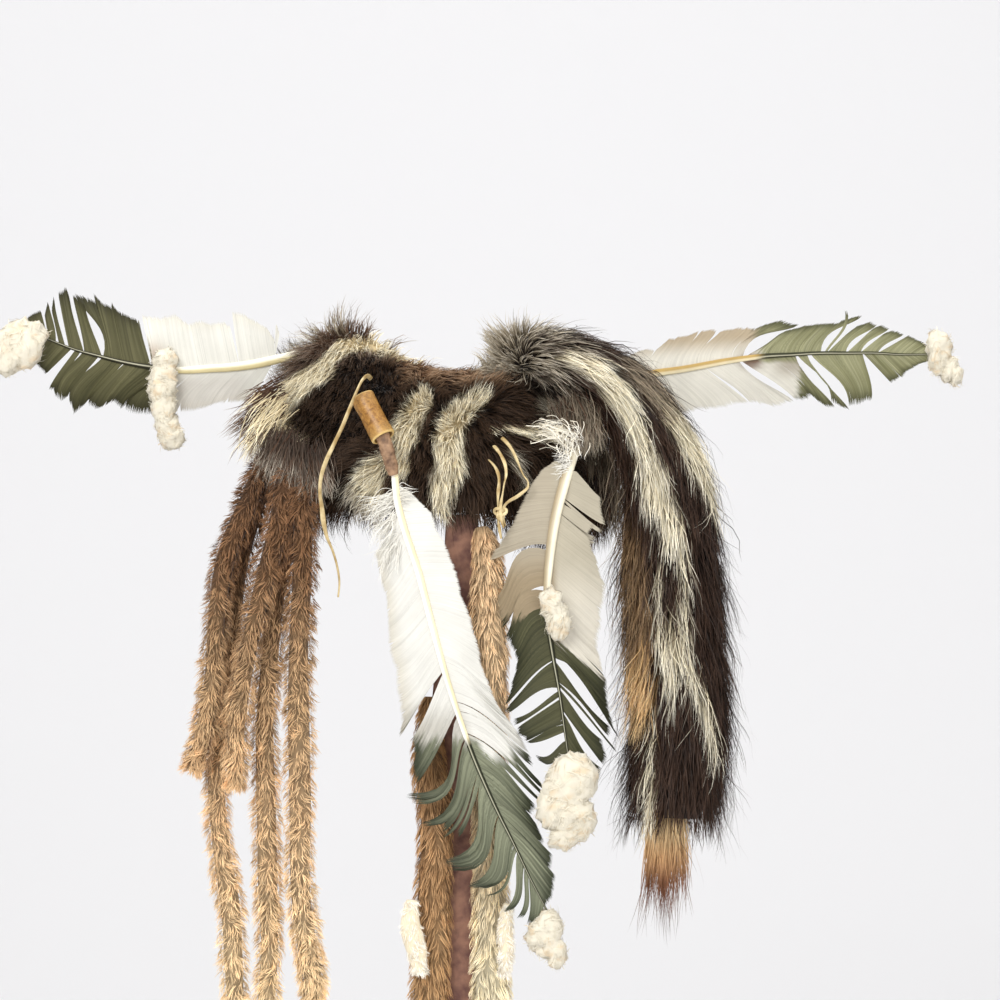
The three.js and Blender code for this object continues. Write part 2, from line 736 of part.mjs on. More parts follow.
function dropFur(rows, grow = 0) {
  const length = routeOf(rows).getLength();
  const rings = Math.round(length / DROP_LOCK_SPACING);
  const shingles = length / SHINGLE_SPACING;
  return join([
    limb(rows, { sides: 6, steps: Math.round(shingles * 1.3), grow, shingles, proud: 3 }),
    ...limbLocks(rows, { ...DROP_LOCKS, rings }, grow),
  ]);
}

const ERMINE_LOCKS = { from: 0.1, to: 0.9, rings: 2, perRing: 2, length: 16, width: 8, thick: 3, lift: 2 };

function ermineBit(rows) {
  return join([
    limb(rows, { sides: 6, steps: 4 }),
    ...limbLocks(rows, ERMINE_LOCKS),
  ]);
}

// ---- Finishes ----
const finish = (color, roughness) => new THREE.MeshStandardMaterial({ color, roughness, metalness: 0 });
const FINISHES = {
  hide: () => finish(0x8b5f40, 0.85),
  darkFur: () => finish(0x34281d, 0.9),
  tailFur: () => finish(0x4a3f33, 0.9),
  brownFur: () => finish(0x8a6a4b, 0.95),
  tanFur: () => finish(0xb98f63, 0.95),
  paleFeather: () => finish(0xefe9dc, 0.7),
  greenFeather: () => finish(0x77754f, 0.7),
  wool: () => finish(0xf4ebd4, 1),
  bone: () => finish(0xa9762f, 0.45),
  leather: () => finish(0x8f6642, 0.7),
  rawhide: () => finish(0xc9b384, 0.65),
  ermine: () => finish(0xf2ead8, 0.95),
};

// ---- Assembly ----
const group = new THREE.Group();

function add(name, solid, material) {
  const mesh = new THREE.Mesh(geometryOf(solid), material());
  mesh.name = name;
  group.add(mesh);
}

const FEATHERS = [
  ['side_feather_left', SIDE_FEATHER_LEFT, QUILLS.sideLeft, GAPS.sideLeft, 1],
  ['side_feather_right', SIDE_FEATHER_RIGHT, QUILLS.sideRight, GAPS.sideRight, 1],
  ['hanging_feather_long', HANGING_FEATHER_LONG, QUILLS.long, GAPS.long, 1],
  ['hanging_feather_short', HANGING_FEATHER_SHORT, QUILLS.short, GAPS.short, 1],
];
const featherRoom = FEATHERS.map(([, rows, quill, gaps, bend]) => feather(rows, quill, gaps, bend, CLEAR));
for (const [name, rows, quill, gaps, bend] of FEATHERS) {
  add(name, feather(rows, quill, gaps, bend), FINISHES.paleFeather);
}
for (const [name, lobes] of Object.entries(TUFTS)) {
  add(name, trimmed(tuft(lobes), featherRoom), FINISHES.wool);
}

add('bone_tube', boneTube(), FINISHES.bone);
add('quill_wrap', trimmed(limb(QUILL_WRAP, { sides: 8, steps: 8 }), featherRoom), FINISHES.leather);

const TIES = [
  ['thong', THONG_ROUTE, THONG_DIAMETER],
  ['tie_lace_left', LACE_LEFT_ROUTE, LACE_DIAMETER],
  ['tie_lace_middle', LACE_MIDDLE_ROUTE, LACE_DIAMETER],
  ['tie_lace_right', LACE_RIGHT_ROUTE, LACE_DIAMETER],
];
// "Room" is a piece made a little bigger all over, which its softer neighbours are cut by.
const tieRoom = TIES.map(([, rows, diameter]) => tie(rows, diameter, CLEAR));
for (const [name, rows, diameter] of TIES) add(name, tie(rows, diameter), FINISHES.rawhide);
add('lace_knot', trimmed(laceKnot(), [...tieRoom, ...featherRoom]), FINISHES.rawhide);

add('tail', tail(), FINISHES.tailFur);

const stripRoom = FUR_STRIPS.map((rows) => furStrip(rows, CLEAR));
FUR_STRIPS.forEach((rows, i) => {
  const nearer = stripRoom.filter((_, j) => j < i);
  const strip = nearer.length ? trimmed(furStrip(rows), nearer) : furStrip(rows);
  add(`fur_strip_${i + 1}`, strip, FINISHES.brownFur);
});

const hideRoom = limb(DROP_HIDE, { sides: 4, steps: 8, grow: CLEAR });
add('drop_hide', limb(DROP_HIDE, { sides: 4, steps: 8 }), FINISHES.hide);
const dropLeftRoom = dropFur(DROP_FUR_LEFT, CLEAR);
add('drop_fur_left', trimmed(dropFur(DROP_FUR_LEFT), [hideRoom]), FINISHES.tanFur);
add('drop_fur_right', trimmed(dropFur(DROP_FUR_RIGHT), [hideRoom, dropLeftRoom]), FINISHES.tanFur);
add('ermine_bit_left', trimmed(ermineBit(ERMINE_LEFT), [dropLeftRoom]), FINISHES.ermine);
add('ermine_bit_right', trimmed(ermineBit(ERMINE_RIGHT), [dropFur(DROP_FUR_RIGHT, CLEAR)]), FINISHES.ermine);

add('pelt_band', peltBand(), FINISHES.hide);
add('band_fur', trimmed(bandFur(), [
  ...featherRoom,
  ...tieRoom,
  ...stripRoom,
  tail(CLEAR),
  boneTube(CLEAR),
  hideRoom,
  dropFur(DROP_FUR_RIGHT, CLEAR),
]), FINISHES.darkFur);

export default group;
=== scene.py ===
"""Feathered headdress: fur, feathers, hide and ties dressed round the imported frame."""
import math

import bpy
import numpy as np
from bpy.props import FloatProperty, FloatVectorProperty, PointerProperty
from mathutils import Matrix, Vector


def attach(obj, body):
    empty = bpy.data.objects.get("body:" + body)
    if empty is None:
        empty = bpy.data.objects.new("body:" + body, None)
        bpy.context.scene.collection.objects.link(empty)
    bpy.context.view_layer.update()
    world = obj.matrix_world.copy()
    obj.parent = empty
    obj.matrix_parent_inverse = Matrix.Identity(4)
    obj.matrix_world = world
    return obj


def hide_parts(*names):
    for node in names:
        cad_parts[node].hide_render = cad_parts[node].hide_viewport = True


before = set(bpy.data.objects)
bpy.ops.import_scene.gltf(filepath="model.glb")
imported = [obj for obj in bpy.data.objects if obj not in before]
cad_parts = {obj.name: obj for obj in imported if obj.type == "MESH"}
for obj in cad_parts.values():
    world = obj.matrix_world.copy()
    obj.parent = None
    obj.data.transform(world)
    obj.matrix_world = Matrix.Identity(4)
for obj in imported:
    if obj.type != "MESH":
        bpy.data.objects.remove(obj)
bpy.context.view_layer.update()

bl_info = {
    "name": "Feathered Headdress",
    "version": (1, 0, 0),
    "blender": (4, 5, 0),
    "location": "3D View > Sidebar > Headdress",
    "description": "Fur turban with a tail, feathers, fur strips and rawhide ties",
    "category": "Add Mesh",
}

# Lengths in this script are millimetres. A mesh is turned to metres as it is written.
MM = 0.001
TURN = 2 * math.pi


# ---------------------------------------------------------------- colours and small helpers
def settings():
    """The sizes and colours set in the sidebar."""
    return bpy.context.scene.headdress_sizes


def linear(colour):
    """An sRGB hex colour as linear red, green and blue."""
    parts = [int(colour[i:i + 2], 16) / 255 for i in (1, 3, 5)]
    return tuple(p / 12.92 if p <= 0.04045 else ((p + 0.055) / 1.055) ** 2.4 for p in parts)


def dye_of(*colours):
    """Hex colours as rows of an array."""
    return np.array([linear(colour) for colour in colours])


def unit(vectors):
    return vectors / np.maximum(np.linalg.norm(vectors, axis=-1, keepdims=True), 1e-9)


def smooth(low, high, values):
    """0 below low, 1 above high, and a smooth step between."""
    share = np.clip((values - low) / (high - low), 0, 1)
    return share * share * (3 - 2 * share)


def blend(first, second, share):
    """Mixes two rows of numbers by a share that has one value for each row."""
    share = np.asarray(share)[..., None]
    return first * (1 - share) + second * share


def along_rows(rows, places):
    """Points of a smooth line through the rows, at places from 0 to 1."""
    points = np.asarray(rows, float)
    spans = len(points) - 1
    where = np.clip(np.asarray(places, float), 0, 1) * spans
    index = np.minimum(where.astype(int), spans - 1)
    share = (where - index)[..., None]
    before, start = points[np.maximum(index - 1, 0)], points[index]
    end, after = points[index + 1], points[np.minimum(index + 2, spans)]
    return 0.5 * (
        2 * start
        + (end - before) * share
        + (2 * before - 5 * start + 4 * end - after) * share ** 2
        + (3 * start - before - 3 * end + after) * share ** 3
    )


def route_frame(rows, places):
    """Centre, direction, wide axis and deep axis of a hanging piece, as in the frame's solids."""
    step = 0.004
    centre = along_rows(rows, places)
    ahead = along_rows(rows, np.minimum(np.asarray(places) + step, 1))
    behind = along_rows(rows, np.maximum(np.asarray(places) - step, 0))
    along = unit(ahead[..., :3] - behind[..., :3])
    deep = np.zeros_like(along)
    deep[..., 1] = 1
    deep = unit(deep - along * (along * deep).sum(-1, keepdims=True))
    return centre, along, unit(np.cross(along, deep)), deep


def length_of(points):
    return float(np.linalg.norm(np.diff(np.asarray(points)[:, :3], axis=0), axis=1).sum())


def wander(positions, size, seed):
    """A soft repeatable noise between about -1 and 1, with patches of that size."""
    rng = np.random.default_rng(seed)
    total = np.zeros(positions.shape[:-1])
    for _ in range(6):
        heading = unit(rng.normal(size=3))
        total += np.sin(positions @ heading * (TURN / size) * rng.uniform(0.6, 1.5) + rng.uniform(0, TURN))
    return total / 2.6


# ---------------------------------------------------------------- meshes
def write_mesh(name, points, faces, finish, dye=None, sheet_map=None):
    """Writes points in millimetres and faces of three or four corners as one riding piece."""
    mesh = bpy.data.meshes.new(name)
    mesh.vertices.add(len(points))
    mesh.vertices.foreach_set("co", (np.asarray(points, np.float32) * MM).ravel())
    corners = np.concatenate([np.asarray(group).ravel() for group in faces])
    sizes = np.concatenate([np.full(len(group), np.asarray(group).shape[1]) for group in faces])
    mesh.loops.add(len(corners))
    mesh.loops.foreach_set("vertex_index", corners.astype(np.int32))
    mesh.polygons.add(len(sizes))
    starts = np.concatenate([[0], np.cumsum(sizes)[:-1]])
    mesh.polygons.foreach_set("loop_start", starts.astype(np.int32))
    mesh.polygons.foreach_set("use_smooth", np.full(len(sizes), True))
    if dye is not None:
        tint = mesh.attributes.new("dye", "FLOAT_COLOR", "POINT")
        tint.data.foreach_set("color", np.column_stack([dye, np.ones(len(dye))]).astype(np.float32).ravel())
    if sheet_map is not None:
        layer = mesh.uv_layers.new(name="OFBake")
        layer.data.foreach_set("uv", sheet_map[corners].astype(np.float32).ravel())
    mesh.update(calc_edges=True)
    mesh.validate()
    piece = bpy.data.objects.new(name, mesh)
    bpy.context.scene.collection.objects.link(piece)
    mesh.materials.append(finish)
    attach(piece, "root")
    return piece


def strands(roots, first, last, length, steps, rng, wild=0.15, wave=0.0):
    """Paths of hairs that leave along "first" and end along "last", with a sway and a wave."""
    paths = np.repeat(roots[:, None, :], steps + 1, axis=1)
    sway = rng.normal(size=roots.shape) * wild
    sway *= np.where(rng.uniform(size=len(roots)) < 0.08, 2.5, 1.0)[:, None]
    aside = unit(rng.normal(size=roots.shape)) * wave
    start = rng.uniform(0, TURN, len(roots))
    for k in range(steps):
        share = (k + 0.5) / steps
        curl = aside * np.sin(start + share * 7.0)[:, None]
        heading = unit(first * (1 - share) + last * share + sway * share + curl)
        paths[:, k + 1] = paths[:, k] + heading * (length / steps)[:, None]
    return paths


def gather(paths, locks, pull, rng):
    """Draws hairs together towards their ends, in that many locks."""
    roots = paths[:, 0]
    guides = rng.choice(len(roots), min(locks, len(roots)), replace=False)
    nearest = np.empty(len(roots), int)
    block = 4000
    for start in range(0, len(roots), block):
        gap = roots[start:start + block, None] - roots[guides][None]
        nearest[start:start + block] = guides[(gap ** 2).sum(-1).argmin(1)]
    share = (np.linspace(0, 1, paths.shape[1]) ** 1.4)[None, :, None] * pull
    return paths * (1 - share) + paths[nearest] * share


def ribbons(name, paths, facing, width, dye, finish, blunt=0.15):
    """Flat tapered hairs in one mesh. Each has its own strip of the bake map, sorted by tint."""
    count, points = paths.shape[:2]
    steps = points - 1
    along = unit(np.gradient(paths, axis=1))
    side = unit(np.cross(along, facing[:, None, :] if facing.ndim == 2 else facing))
    share = np.linspace(0, 1, points)
    width = settings().hair_width * np.reshape(width, (count, -1))
    half = 0.5 * width * (1 - (1 - blunt) * share[None, :] ** 2)
    left, right = paths - side * half[..., None], paths + side * half[..., None]
    body = np.stack([left[:, :steps], right[:, :steps]], axis=2).reshape(count, 2 * steps, 3)
    corners = np.concatenate([body, paths[:, -1:]], axis=1)
    tint = np.concatenate([np.repeat(dye[:, :steps], 2, axis=1), dye[:, -1:]], axis=1)
    order = np.empty(count)
    order[np.argsort(dye[:, steps // 2].sum(-1), kind="stable")] = np.arange(count)
    across = np.tile([0.15, 0.85], steps)
    u = (order[:, None] + np.concatenate([across, [0.5]])[None]) / count
    v = np.concatenate([np.repeat(share[:steps], 2), [1]]) * 0.96 + 0.02
    sheet_map = np.stack([u, np.broadcast_to(v, u.shape)], axis=-1)
    base = np.arange(count)[:, None] * (2 * steps + 1)
    ladder = np.array([[2 * k, 2 * k + 1, 2 * k + 3, 2 * k + 2] for k in range(steps - 1)])
    quads = (base[:, :, None] + ladder[None]).reshape(-1, 4)
    tips = base + np.array([2 * steps - 2, 2 * steps - 1, 2 * steps])[None]
    return write_mesh(
        name, corners.reshape(-1, 3), [quads, tips], finish,
        dye=tint.reshape(-1, 3), sheet_map=sheet_map.reshape(-1, 2),
    )


def tube(name, centres, wide, deep, half_wide, half_deep, finish, dye=None, sides=10):
    """A closed limb of oval sections."""
    count = len(centres)
    angle = np.arange(sides) / sides * TURN
    ring = (
        centres[:, None]
        + wide[:, None] * (np.reshape(half_wide, (count, -1)) * np.cos(angle))[..., None]
        + deep[:, None] * (np.reshape(half_deep, (count, -1)) * np.sin(angle))[..., None]
    )
    points = ring.reshape(-1, 3)
    i = np.arange(count - 1)[:, None] * sides
    j = np.arange(sides)[None]
    after = (j + 1) % sides
    faces = [np.stack([i + j, i + after, i + sides + after, i + sides + j], -1).reshape(-1, 4)]
    points = np.vstack([points, centres[:1], centres[-1:]])
    hub, last = count * sides, (count - 1) * sides
    j = j[0]
    after = after[0]
    faces.append(np.stack([np.full(sides, hub), after, j], -1))
    faces.append(np.stack([np.full(sides, hub + 1), last + j, last + after], -1))
    if dye is not None:
        dye = np.repeat(dye, sides, axis=0) if dye.ndim == 2 else dye.reshape(-1, 3)
        dye = np.vstack([dye, dye[:1], dye[-1:]])
    return write_mesh(name, points, faces, finish, dye=dye)


# ---------------------------------------------------------------- materials
def node(tree, kind, settings=None, inputs=None, stops=None):
    """Adds a node, with its settings, its values or links by socket, and a ramp's stops."""
    made = tree.nodes.new(kind)
    for key, value in (settings or {}).items():
        setattr(made, key, value)
    for key, value in (inputs or {}).items():
        if isinstance(value, bpy.types.NodeSocket):
            tree.links.new(value, made.inputs[key])
        else:
            made.inputs[key].default_value = value
    if stops:
        ramp = made.color_ramp.elements
        while len(ramp) < len(stops):
            ramp.new(0.5)
        for element, (place, colour) in zip(ramp, stops):
            element.position = place
            element.color = (*colour, 1)
    return made


def new_material(name):
    """An empty material with a shader joined to its output."""
    made = bpy.data.materials.new(name)
    made.use_nodes = True
    tree = made.node_tree
    tree.nodes.clear()
    shader = node(tree, "ShaderNodeBsdfPrincipled")
    node(tree, "ShaderNodeOutputMaterial", inputs={"Surface": shader.outputs[0]})
    return made, tree, shader


def hair_material(name, patch, spread, roughness, sheen=0.0):
    """Hair with its own dye, which drifts lighter and darker in patches of "patch" mm."""
    made, tree, shader = new_material(name)
    dye = node(tree, "ShaderNodeAttribute", {"attribute_name": "dye"})
    place = node(tree, "ShaderNodeTexCoord")
    noise = node(
        tree, "ShaderNodeTexNoise",
        inputs={"Vector": place.outputs["Object"], "Scale": 1 / (patch * MM), "Detail": 3.0},
    )
    value = node(
        tree, "ShaderNodeMapRange",
        inputs={"Value": noise.outputs[0], "From Min": 0.3, "From Max": 0.7,
                "To Min": 1 - spread, "To Max": 1 + spread},
    )
    tinted = node(
        tree, "ShaderNodeHueSaturation",
        inputs={"Color": dye.outputs["Color"], "Value": value.outputs[0]},
    )
    tree.links.new(tinted.outputs[0], shader.inputs["Base Color"])
    shader.inputs["Roughness"].default_value = roughness
    shader.inputs["Specular IOR Level"].default_value = 0.15
    if sheen:
        shader.inputs["Sheen Weight"].default_value = sheen
    return made


def hide_material(name, dark, light, grain, roughness):
    """Leather or hide: mottled in patches, with a fine pebbled grain "grain" mm across."""
    made, tree, shader = new_material(name)
    place = node(tree, "ShaderNodeTexCoord")
    mottle = node(
        tree, "ShaderNodeTexNoise",
        inputs={"Vector": place.outputs["Object"], "Scale": 1 / (6 * grain * MM), "Detail": 5.0},
    )
    tint = node(
        tree, "ShaderNodeValToRGB", inputs={"Fac": mottle.outputs[0]},
        stops=[(0.35, dark), (0.65, light)],
    )
    pebbles = node(
        tree, "ShaderNodeTexVoronoi",
        inputs={"Vector": place.outputs["Object"], "Scale": 1 / (grain * MM)},
    )
    relief = node(
        tree, "ShaderNodeBump",
        inputs={"Height": pebbles.outputs[0], "Strength": 0.4, "Distance": 0.2 * MM},
    )
    tree.links.new(tint.outputs[0], shader.inputs["Base Color"])
    tree.links.new(relief.outputs[0], shader.inputs["Normal"])
    shader.inputs["Roughness"].default_value = roughness
    return made


FINISHES = {}


def finish(name):
    """Makes a finish the first time that a piece asks for it."""
    if name not in FINISHES:
        FINISHES[name] = FINISH_MAKERS[name]()
    return FINISHES[name]


def bone_material():
    """Turned bone: golden brown, with darker pores and a paler worn rim."""
    made, tree, shader = new_material("Bone_turned_and_handled")
    place = node(tree, "ShaderNodeTexCoord")
    mottle = node(
        tree, "ShaderNodeTexNoise",
        inputs={"Vector": place.outputs["Object"], "Scale": 1 / (2.2 * MM), "Detail": 6.0, "Roughness": 0.7},
    )
    tint = node(
        tree, "ShaderNodeValToRGB", inputs={"Fac": mottle.outputs[0]},
        stops=[(0.3, linear("#4a2f10")), (0.46, linear("#8d6026")), (0.7, linear("#ba8b45"))],
    )
    dye = node(tree, "ShaderNodeAttribute", {"attribute_name": "dye"})
    worn = node(
        tree, "ShaderNodeMix", {"data_type": "RGBA", "blend_type": "MIX"},
        {"Factor": dye.outputs["Color"], "A": tint.outputs[0], "B": (*linear("#e0bf7a"), 1)},
    )
    relief = node(
        tree, "ShaderNodeBump",
        inputs={"Height": mottle.outputs[0], "Strength": 0.5, "Distance": 0.15 * MM},
    )
    tree.links.new(worn.outputs["Result"], shader.inputs["Base Color"])
    tree.links.new(relief.outputs[0], shader.inputs["Normal"])
    shader.inputs["Roughness"].default_value = 0.42
    return made


# Each finish is named for the real stuff and how it was made.
FINISH_MAKERS = {
    # Deep guard hair: soft sheen down each hair, dark between the locks.
    "guard_hair": lambda: hair_material("Skunk_fur_combed_guard_hair", 14, 0.18, 0.5),
    # Plush close to the hide: almost no gloss, so that it reads as depth.
    "underfur": lambda: hair_material("Skunk_fur_dense_underfur", 7, 0.3, 0.8, sheen=0.2),
    # Coarse tail hair has a stronger, colder gloss.
    "tail_hair": lambda: hair_material("Tail_fur_coarse_guard_hair", 16, 0.15, 0.42),
    # Short twisted strips: velvety, with light tips.
    "strip_hair": lambda: hair_material("Mink_fur_twisted_strip", 9, 0.22, 0.6, sheen=0.15),
    # Sleek short pelt: tan, lies flat.
    "pelt_hair": lambda: hair_material("Pelt_sleek_hair", 10, 0.15, 0.5),
    # Vanes: satin barbs that catch the light in fine lines.
    "vane": lambda: hair_material("Feather_dip_dyed_vane", 20, 0.05, 0.5),
    # Shafts: smooth horn.
    "shaft": lambda: hair_material("Feather_horn_shaft", 12, 0.08, 0.35),
    # Wool and down: dull and very pale.
    "wool": lambda: hair_material("Wool_loose_fleece", 6, 0.06, 0.9, sheen=0.3),
    # Bare tanned hide: dull, purplish brown, mottled over a fine pebble grain.
    "hide": lambda: hide_material(
        "Pelt_hide_brain_tanned", linear("#64423a"), settings().hide_colour, 1.4, 0.75),
    # Thin leather wound wet: a finer grain and a slight gloss on its ribs.
    "leather": lambda: hide_material(
        "Leather_thin_wrapped", linear("#644935"), linear("#aa8768"), 0.8, 0.6),
    # Cut rawhide: pale yellow, harder and glossier than the tanned hide.
    "rawhide": lambda: hide_material(
        "Rawhide_cut_lace", linear("#a88c58"), settings().rawhide_colour, 1.2, 0.5),
    # Handled bone: satin, with dark pores.
    "bone": bone_material,
}


# ---------------------------------------------------------------- shapes shared with the frame
HEAD_HALF_WIDTH = 78
HEAD_HALF_DEPTH = 97
HIDE_WALL = 2.5
BAND_REST_HEIGHT = 86

# x, y, z of the shaft and the vane's reach to its left and right, as it hangs.
SIDE_FEATHER_LEFT = [
    (-108, -22, 94, 4, 6), (-121, -22, 91, 23, 16), (-136, -22, 89, 38, 20), (-151, -23, 88, 33, 22),
    (-168, -24, 87, 37, 24), (-188, -25, 89, 38, 26), (-205, -25, 92, 33, 32), (-221, -26, 96, 38, 29),
    (-236, -27, 100, 38, 38), (-249, -28, 105, 37, 41), (-259, -29, 109, 27, 32), (-265, -30, 112, 12, 14),
]
SIDE_FEATHER_RIGHT = [
    (112, -22, 80, 4, 4), (122, -22, 82, 14, 16), (137, -22, 85, 20, 20), (158, -23, 88, 25, 24),
    (185, -24, 93, 29, 24), (208, -25, 96, 31, 23), (226, -26, 97, 31, 23), (244, -27, 98, 29, 21),
    (262, -28, 98, 38, 23), (280, -29, 98, 34, 27), (296, -30, 97, 18, 21), (310, -31, 97, 11, 11),
    (318, -32, 97, 4, 4),
]
HANGING_FEATHER_LONG = [
    (-27, -137, 12, 3, 4), (-26, -138, 2, 12, 13), (-21, -140, -17, 19, 21), (-13, -142, -41, 26, 22),
    (-5, -144, -72, 27, 24), (4, -146, -105, 29, 24), (13, -147, -133, 32, 31), (23, -148, -160, 36, 34),
    (35, -149, -187, 36, 28), (47, -150, -211, 31, 22), (57, -150, -232, 23, 13), (67, -150, -251, 7, 4),
]
HANGING_FEATHER_SHORT = [
    (82, -124, 26, 5, 3), (78, -126, 14, 20, 12), (73, -129, -5, 24, 26), (70, -131, -22, 30, 28),
    (68, -133, -40, 33, 32), (67, -135, -56, 32, 36), (68, -137, -75, 28, 33), (71, -139, -95, 25, 30),
    (75, -141, -118, 31, 33), (78, -143, -140, 28, 34), (80, -145, -155, 21, 27), (81, -146, -165, 8, 12),
]
QUILLS = {
    "side_feather_left": [(-86, -21, 99), (-98, -22, 96), (-112, -22, 93)],
    "side_feather_right": [(86, -21, 76), (100, -22, 78), (115, -22, 80.5)],
    "hanging_feather_long": [(-31, -137, 33), (-28, -137, 21), (-26.6, -137.5, 8)],
    "hanging_feather_short": [(84, -94, 56), (86, -113, 42), (81.2, -124.5, 23)],
}
# x, y, z, half width and half depth down each furry limb.
TAIL = [
    (38, -106, 92, 12, 11), (58, -108, 95, 16, 15), (82, -108, 91, 19, 18), (110, -104, 76, 22, 20),
    (131, -100, 48, 27, 23), (144, -96, 10, 31, 25), (146, -94, -40, 35, 27), (149, -92, -90, 34, 27),
    (152, -90, -135, 33, 26), (149, -90, -175, 29, 24), (147, -90, -212, 18, 16), (146, -90, -250, 11, 10),
    (147, -90, -276, 4, 4),
]
FUR_STRIPS = [
    [(-98, -72, 34, 5, 5), (-112, -84, 22, 8, 6), (-121, -90, 2, 9, 6), (-135, -94, -33, 9, 6),
     (-141, -94, -70, 8, 6), (-143, -94, -105, 8, 6), (-147, -94, -132, 8, 6), (-152, -94, -155, 8, 6),
     (-157, -96, -168, 5, 5)],
    [(-96, -62, 30, 5, 5), (-111, -70, 18, 8, 6), (-117, -77, 0, 8, 6), (-128, -80, -40, 8, 6),
     (-132, -80, -80, 8, 6), (-136, -80, -125, 8, 6), (-142, -82, -170, 8, 6), (-139, -84, -215, 8, 6),
     (-133, -84, -255, 9, 6), (-130, -84, -310, 8, 6), (-128, -84, -345, 5, 4)],
    [(-86, -88, 26, 5, 4), (-97, -104, 14, 8, 5), (-101, -106, -10, 9, 6), (-108, -106, -40, 9, 6),
     (-117, -105, -75, 8, 6), (-124, -104, -110, 8, 6), (-128, -104, -140, 8, 6), (-128, -104, -165, 7, 6),
     (-129, -104, -178, 4, 4)],
    [(-84, -78, 24, 5, 4), (-94, -92, 8, 8, 5), (-97, -92, -20, 9, 5), (-104, -92, -60, 8, 6),
     (-108, -91, -100, 8, 6), (-111, -90, -140, 8, 6), (-110, -90, -190, 9, 6), (-109, -90, -240, 9, 6),
     (-108, -90, -280, 8, 6), (-111, -90, -330, 8, 6), (-113, -90, -352, 5, 4)],
    [(-76, -92, 22, 5, 4), (-86, -106, 8, 8, 6), (-86, -106, -15, 9, 7), (-87, -104, -50, 9, 7),
     (-89, -102, -90, 9, 7), (-89, -102, -135, 10, 7), (-88, -102, -190, 10, 7), (-88, -102, -240, 9, 7),
     (-84, -102, -275, 9, 6), (-80, -102, -300, 8, 6), (-80, -102, -314, 4, 4)],
]
DROP_HIDE = [
    (14, -108, -6, 10, 1), (14, -110, -40, 12, 1), (16, -112, -90, 18, 1), (15, -113, -150, 22, 1),
    (14, -114, -220, 25, 1), (13, -114, -290, 25, 1), (13, -114, -346, 22, 1),
]
DROP_FURS = {
    "drop_fur_left": [
        (-6, -118, -120, 4, 4), (-7, -120, -158, 11, 6), (-3, -121, -200, 11, 6), (-4, -121, -240, 12, 6),
        (-6, -121, -290, 13, 6), (-6, -121, -330, 11, 6), (-5, -120, -352, 5, 4)],
    "drop_fur_right": [
        (26, -114, -14, 5, 4), (30, -118, -36, 10, 6), (31, -119, -80, 13, 6), (31, -120, -130, 13, 6),
        (31, -121, -190, 11, 6), (32, -121, -240, 12, 6), (32, -121, -290, 13, 6), (32, -121, -330, 12, 6),
        (31, -120, -352, 5, 4)],
}
ERMINE_BITS = {
    "ermine_bit_left": [
        (-17, -134, -246, 5, 4), (-18, -134, -262, 9, 5), (-14, -134, -278, 9, 5), (-12, -134, -292, 5, 4)],
    "ermine_bit_right": [
        (43, -134, -248, 4, 4), (41, -134, -264, 7, 5), (42, -134, -280, 6, 5), (40, -134, -293, 3, 3)],
}
# x, y, z of each lobe and its half sizes.
TUFTS = {
    "tuft_left_tip": [(-271, -36, 103, 15, 10, 18), (-282, -36, 97, 11, 9, 15), (-262, -37, 110, 9, 6, 9)],
    "tuft_left_middle": [
        (-178, -30, 92, 9, 6, 9), (-180, -31, 75, 10, 6, 12), (-178, -31, 55, 7, 5, 13),
        (-174, -31, 43, 9, 5, 8)],
    "tuft_right_tip": [(320, -33, 103, 9, 7, 10), (321, -33, 91, 8, 6, 9), (331, -33, 84, 5, 5, 9)],
    "tuft_short_middle": [(70, -142, -60, 8, 5, 9), (74, -143, -73, 8, 5, 12)],
    "tuft_short_tip": [
        (83, -150, -170, 17, 10, 18), (72, -151, -188, 13, 9, 15), (86, -150, -194, 12, 9, 16),
        (76, -150, -206, 9, 7, 9)],
    "tuft_long_tip": [(68, -150, -263, 10, 6, 13), (62, -150, -268, 10, 6, 9), (73, -150, -277, 7, 5, 11)],
}
TUBE_TOP = np.array([-48.3, -131.5, 67.6])
TUBE_FOOT = np.array([-34.5, -141.5, 42])
QUILL_WRAP = [
    (-45, -134, 61.5, 4.2), (-39.6, -137.9, 51.5, 4.6), (-35.7, -140.7, 44, 4.6), (-33.7, -141.7, 39, 4.3),
    (-32.3, -141.3, 34, 4.5), (-30.9, -140.2, 29, 4), (-29.6, -139, 24, 4), (-28.4, -138, 19, 3),
]
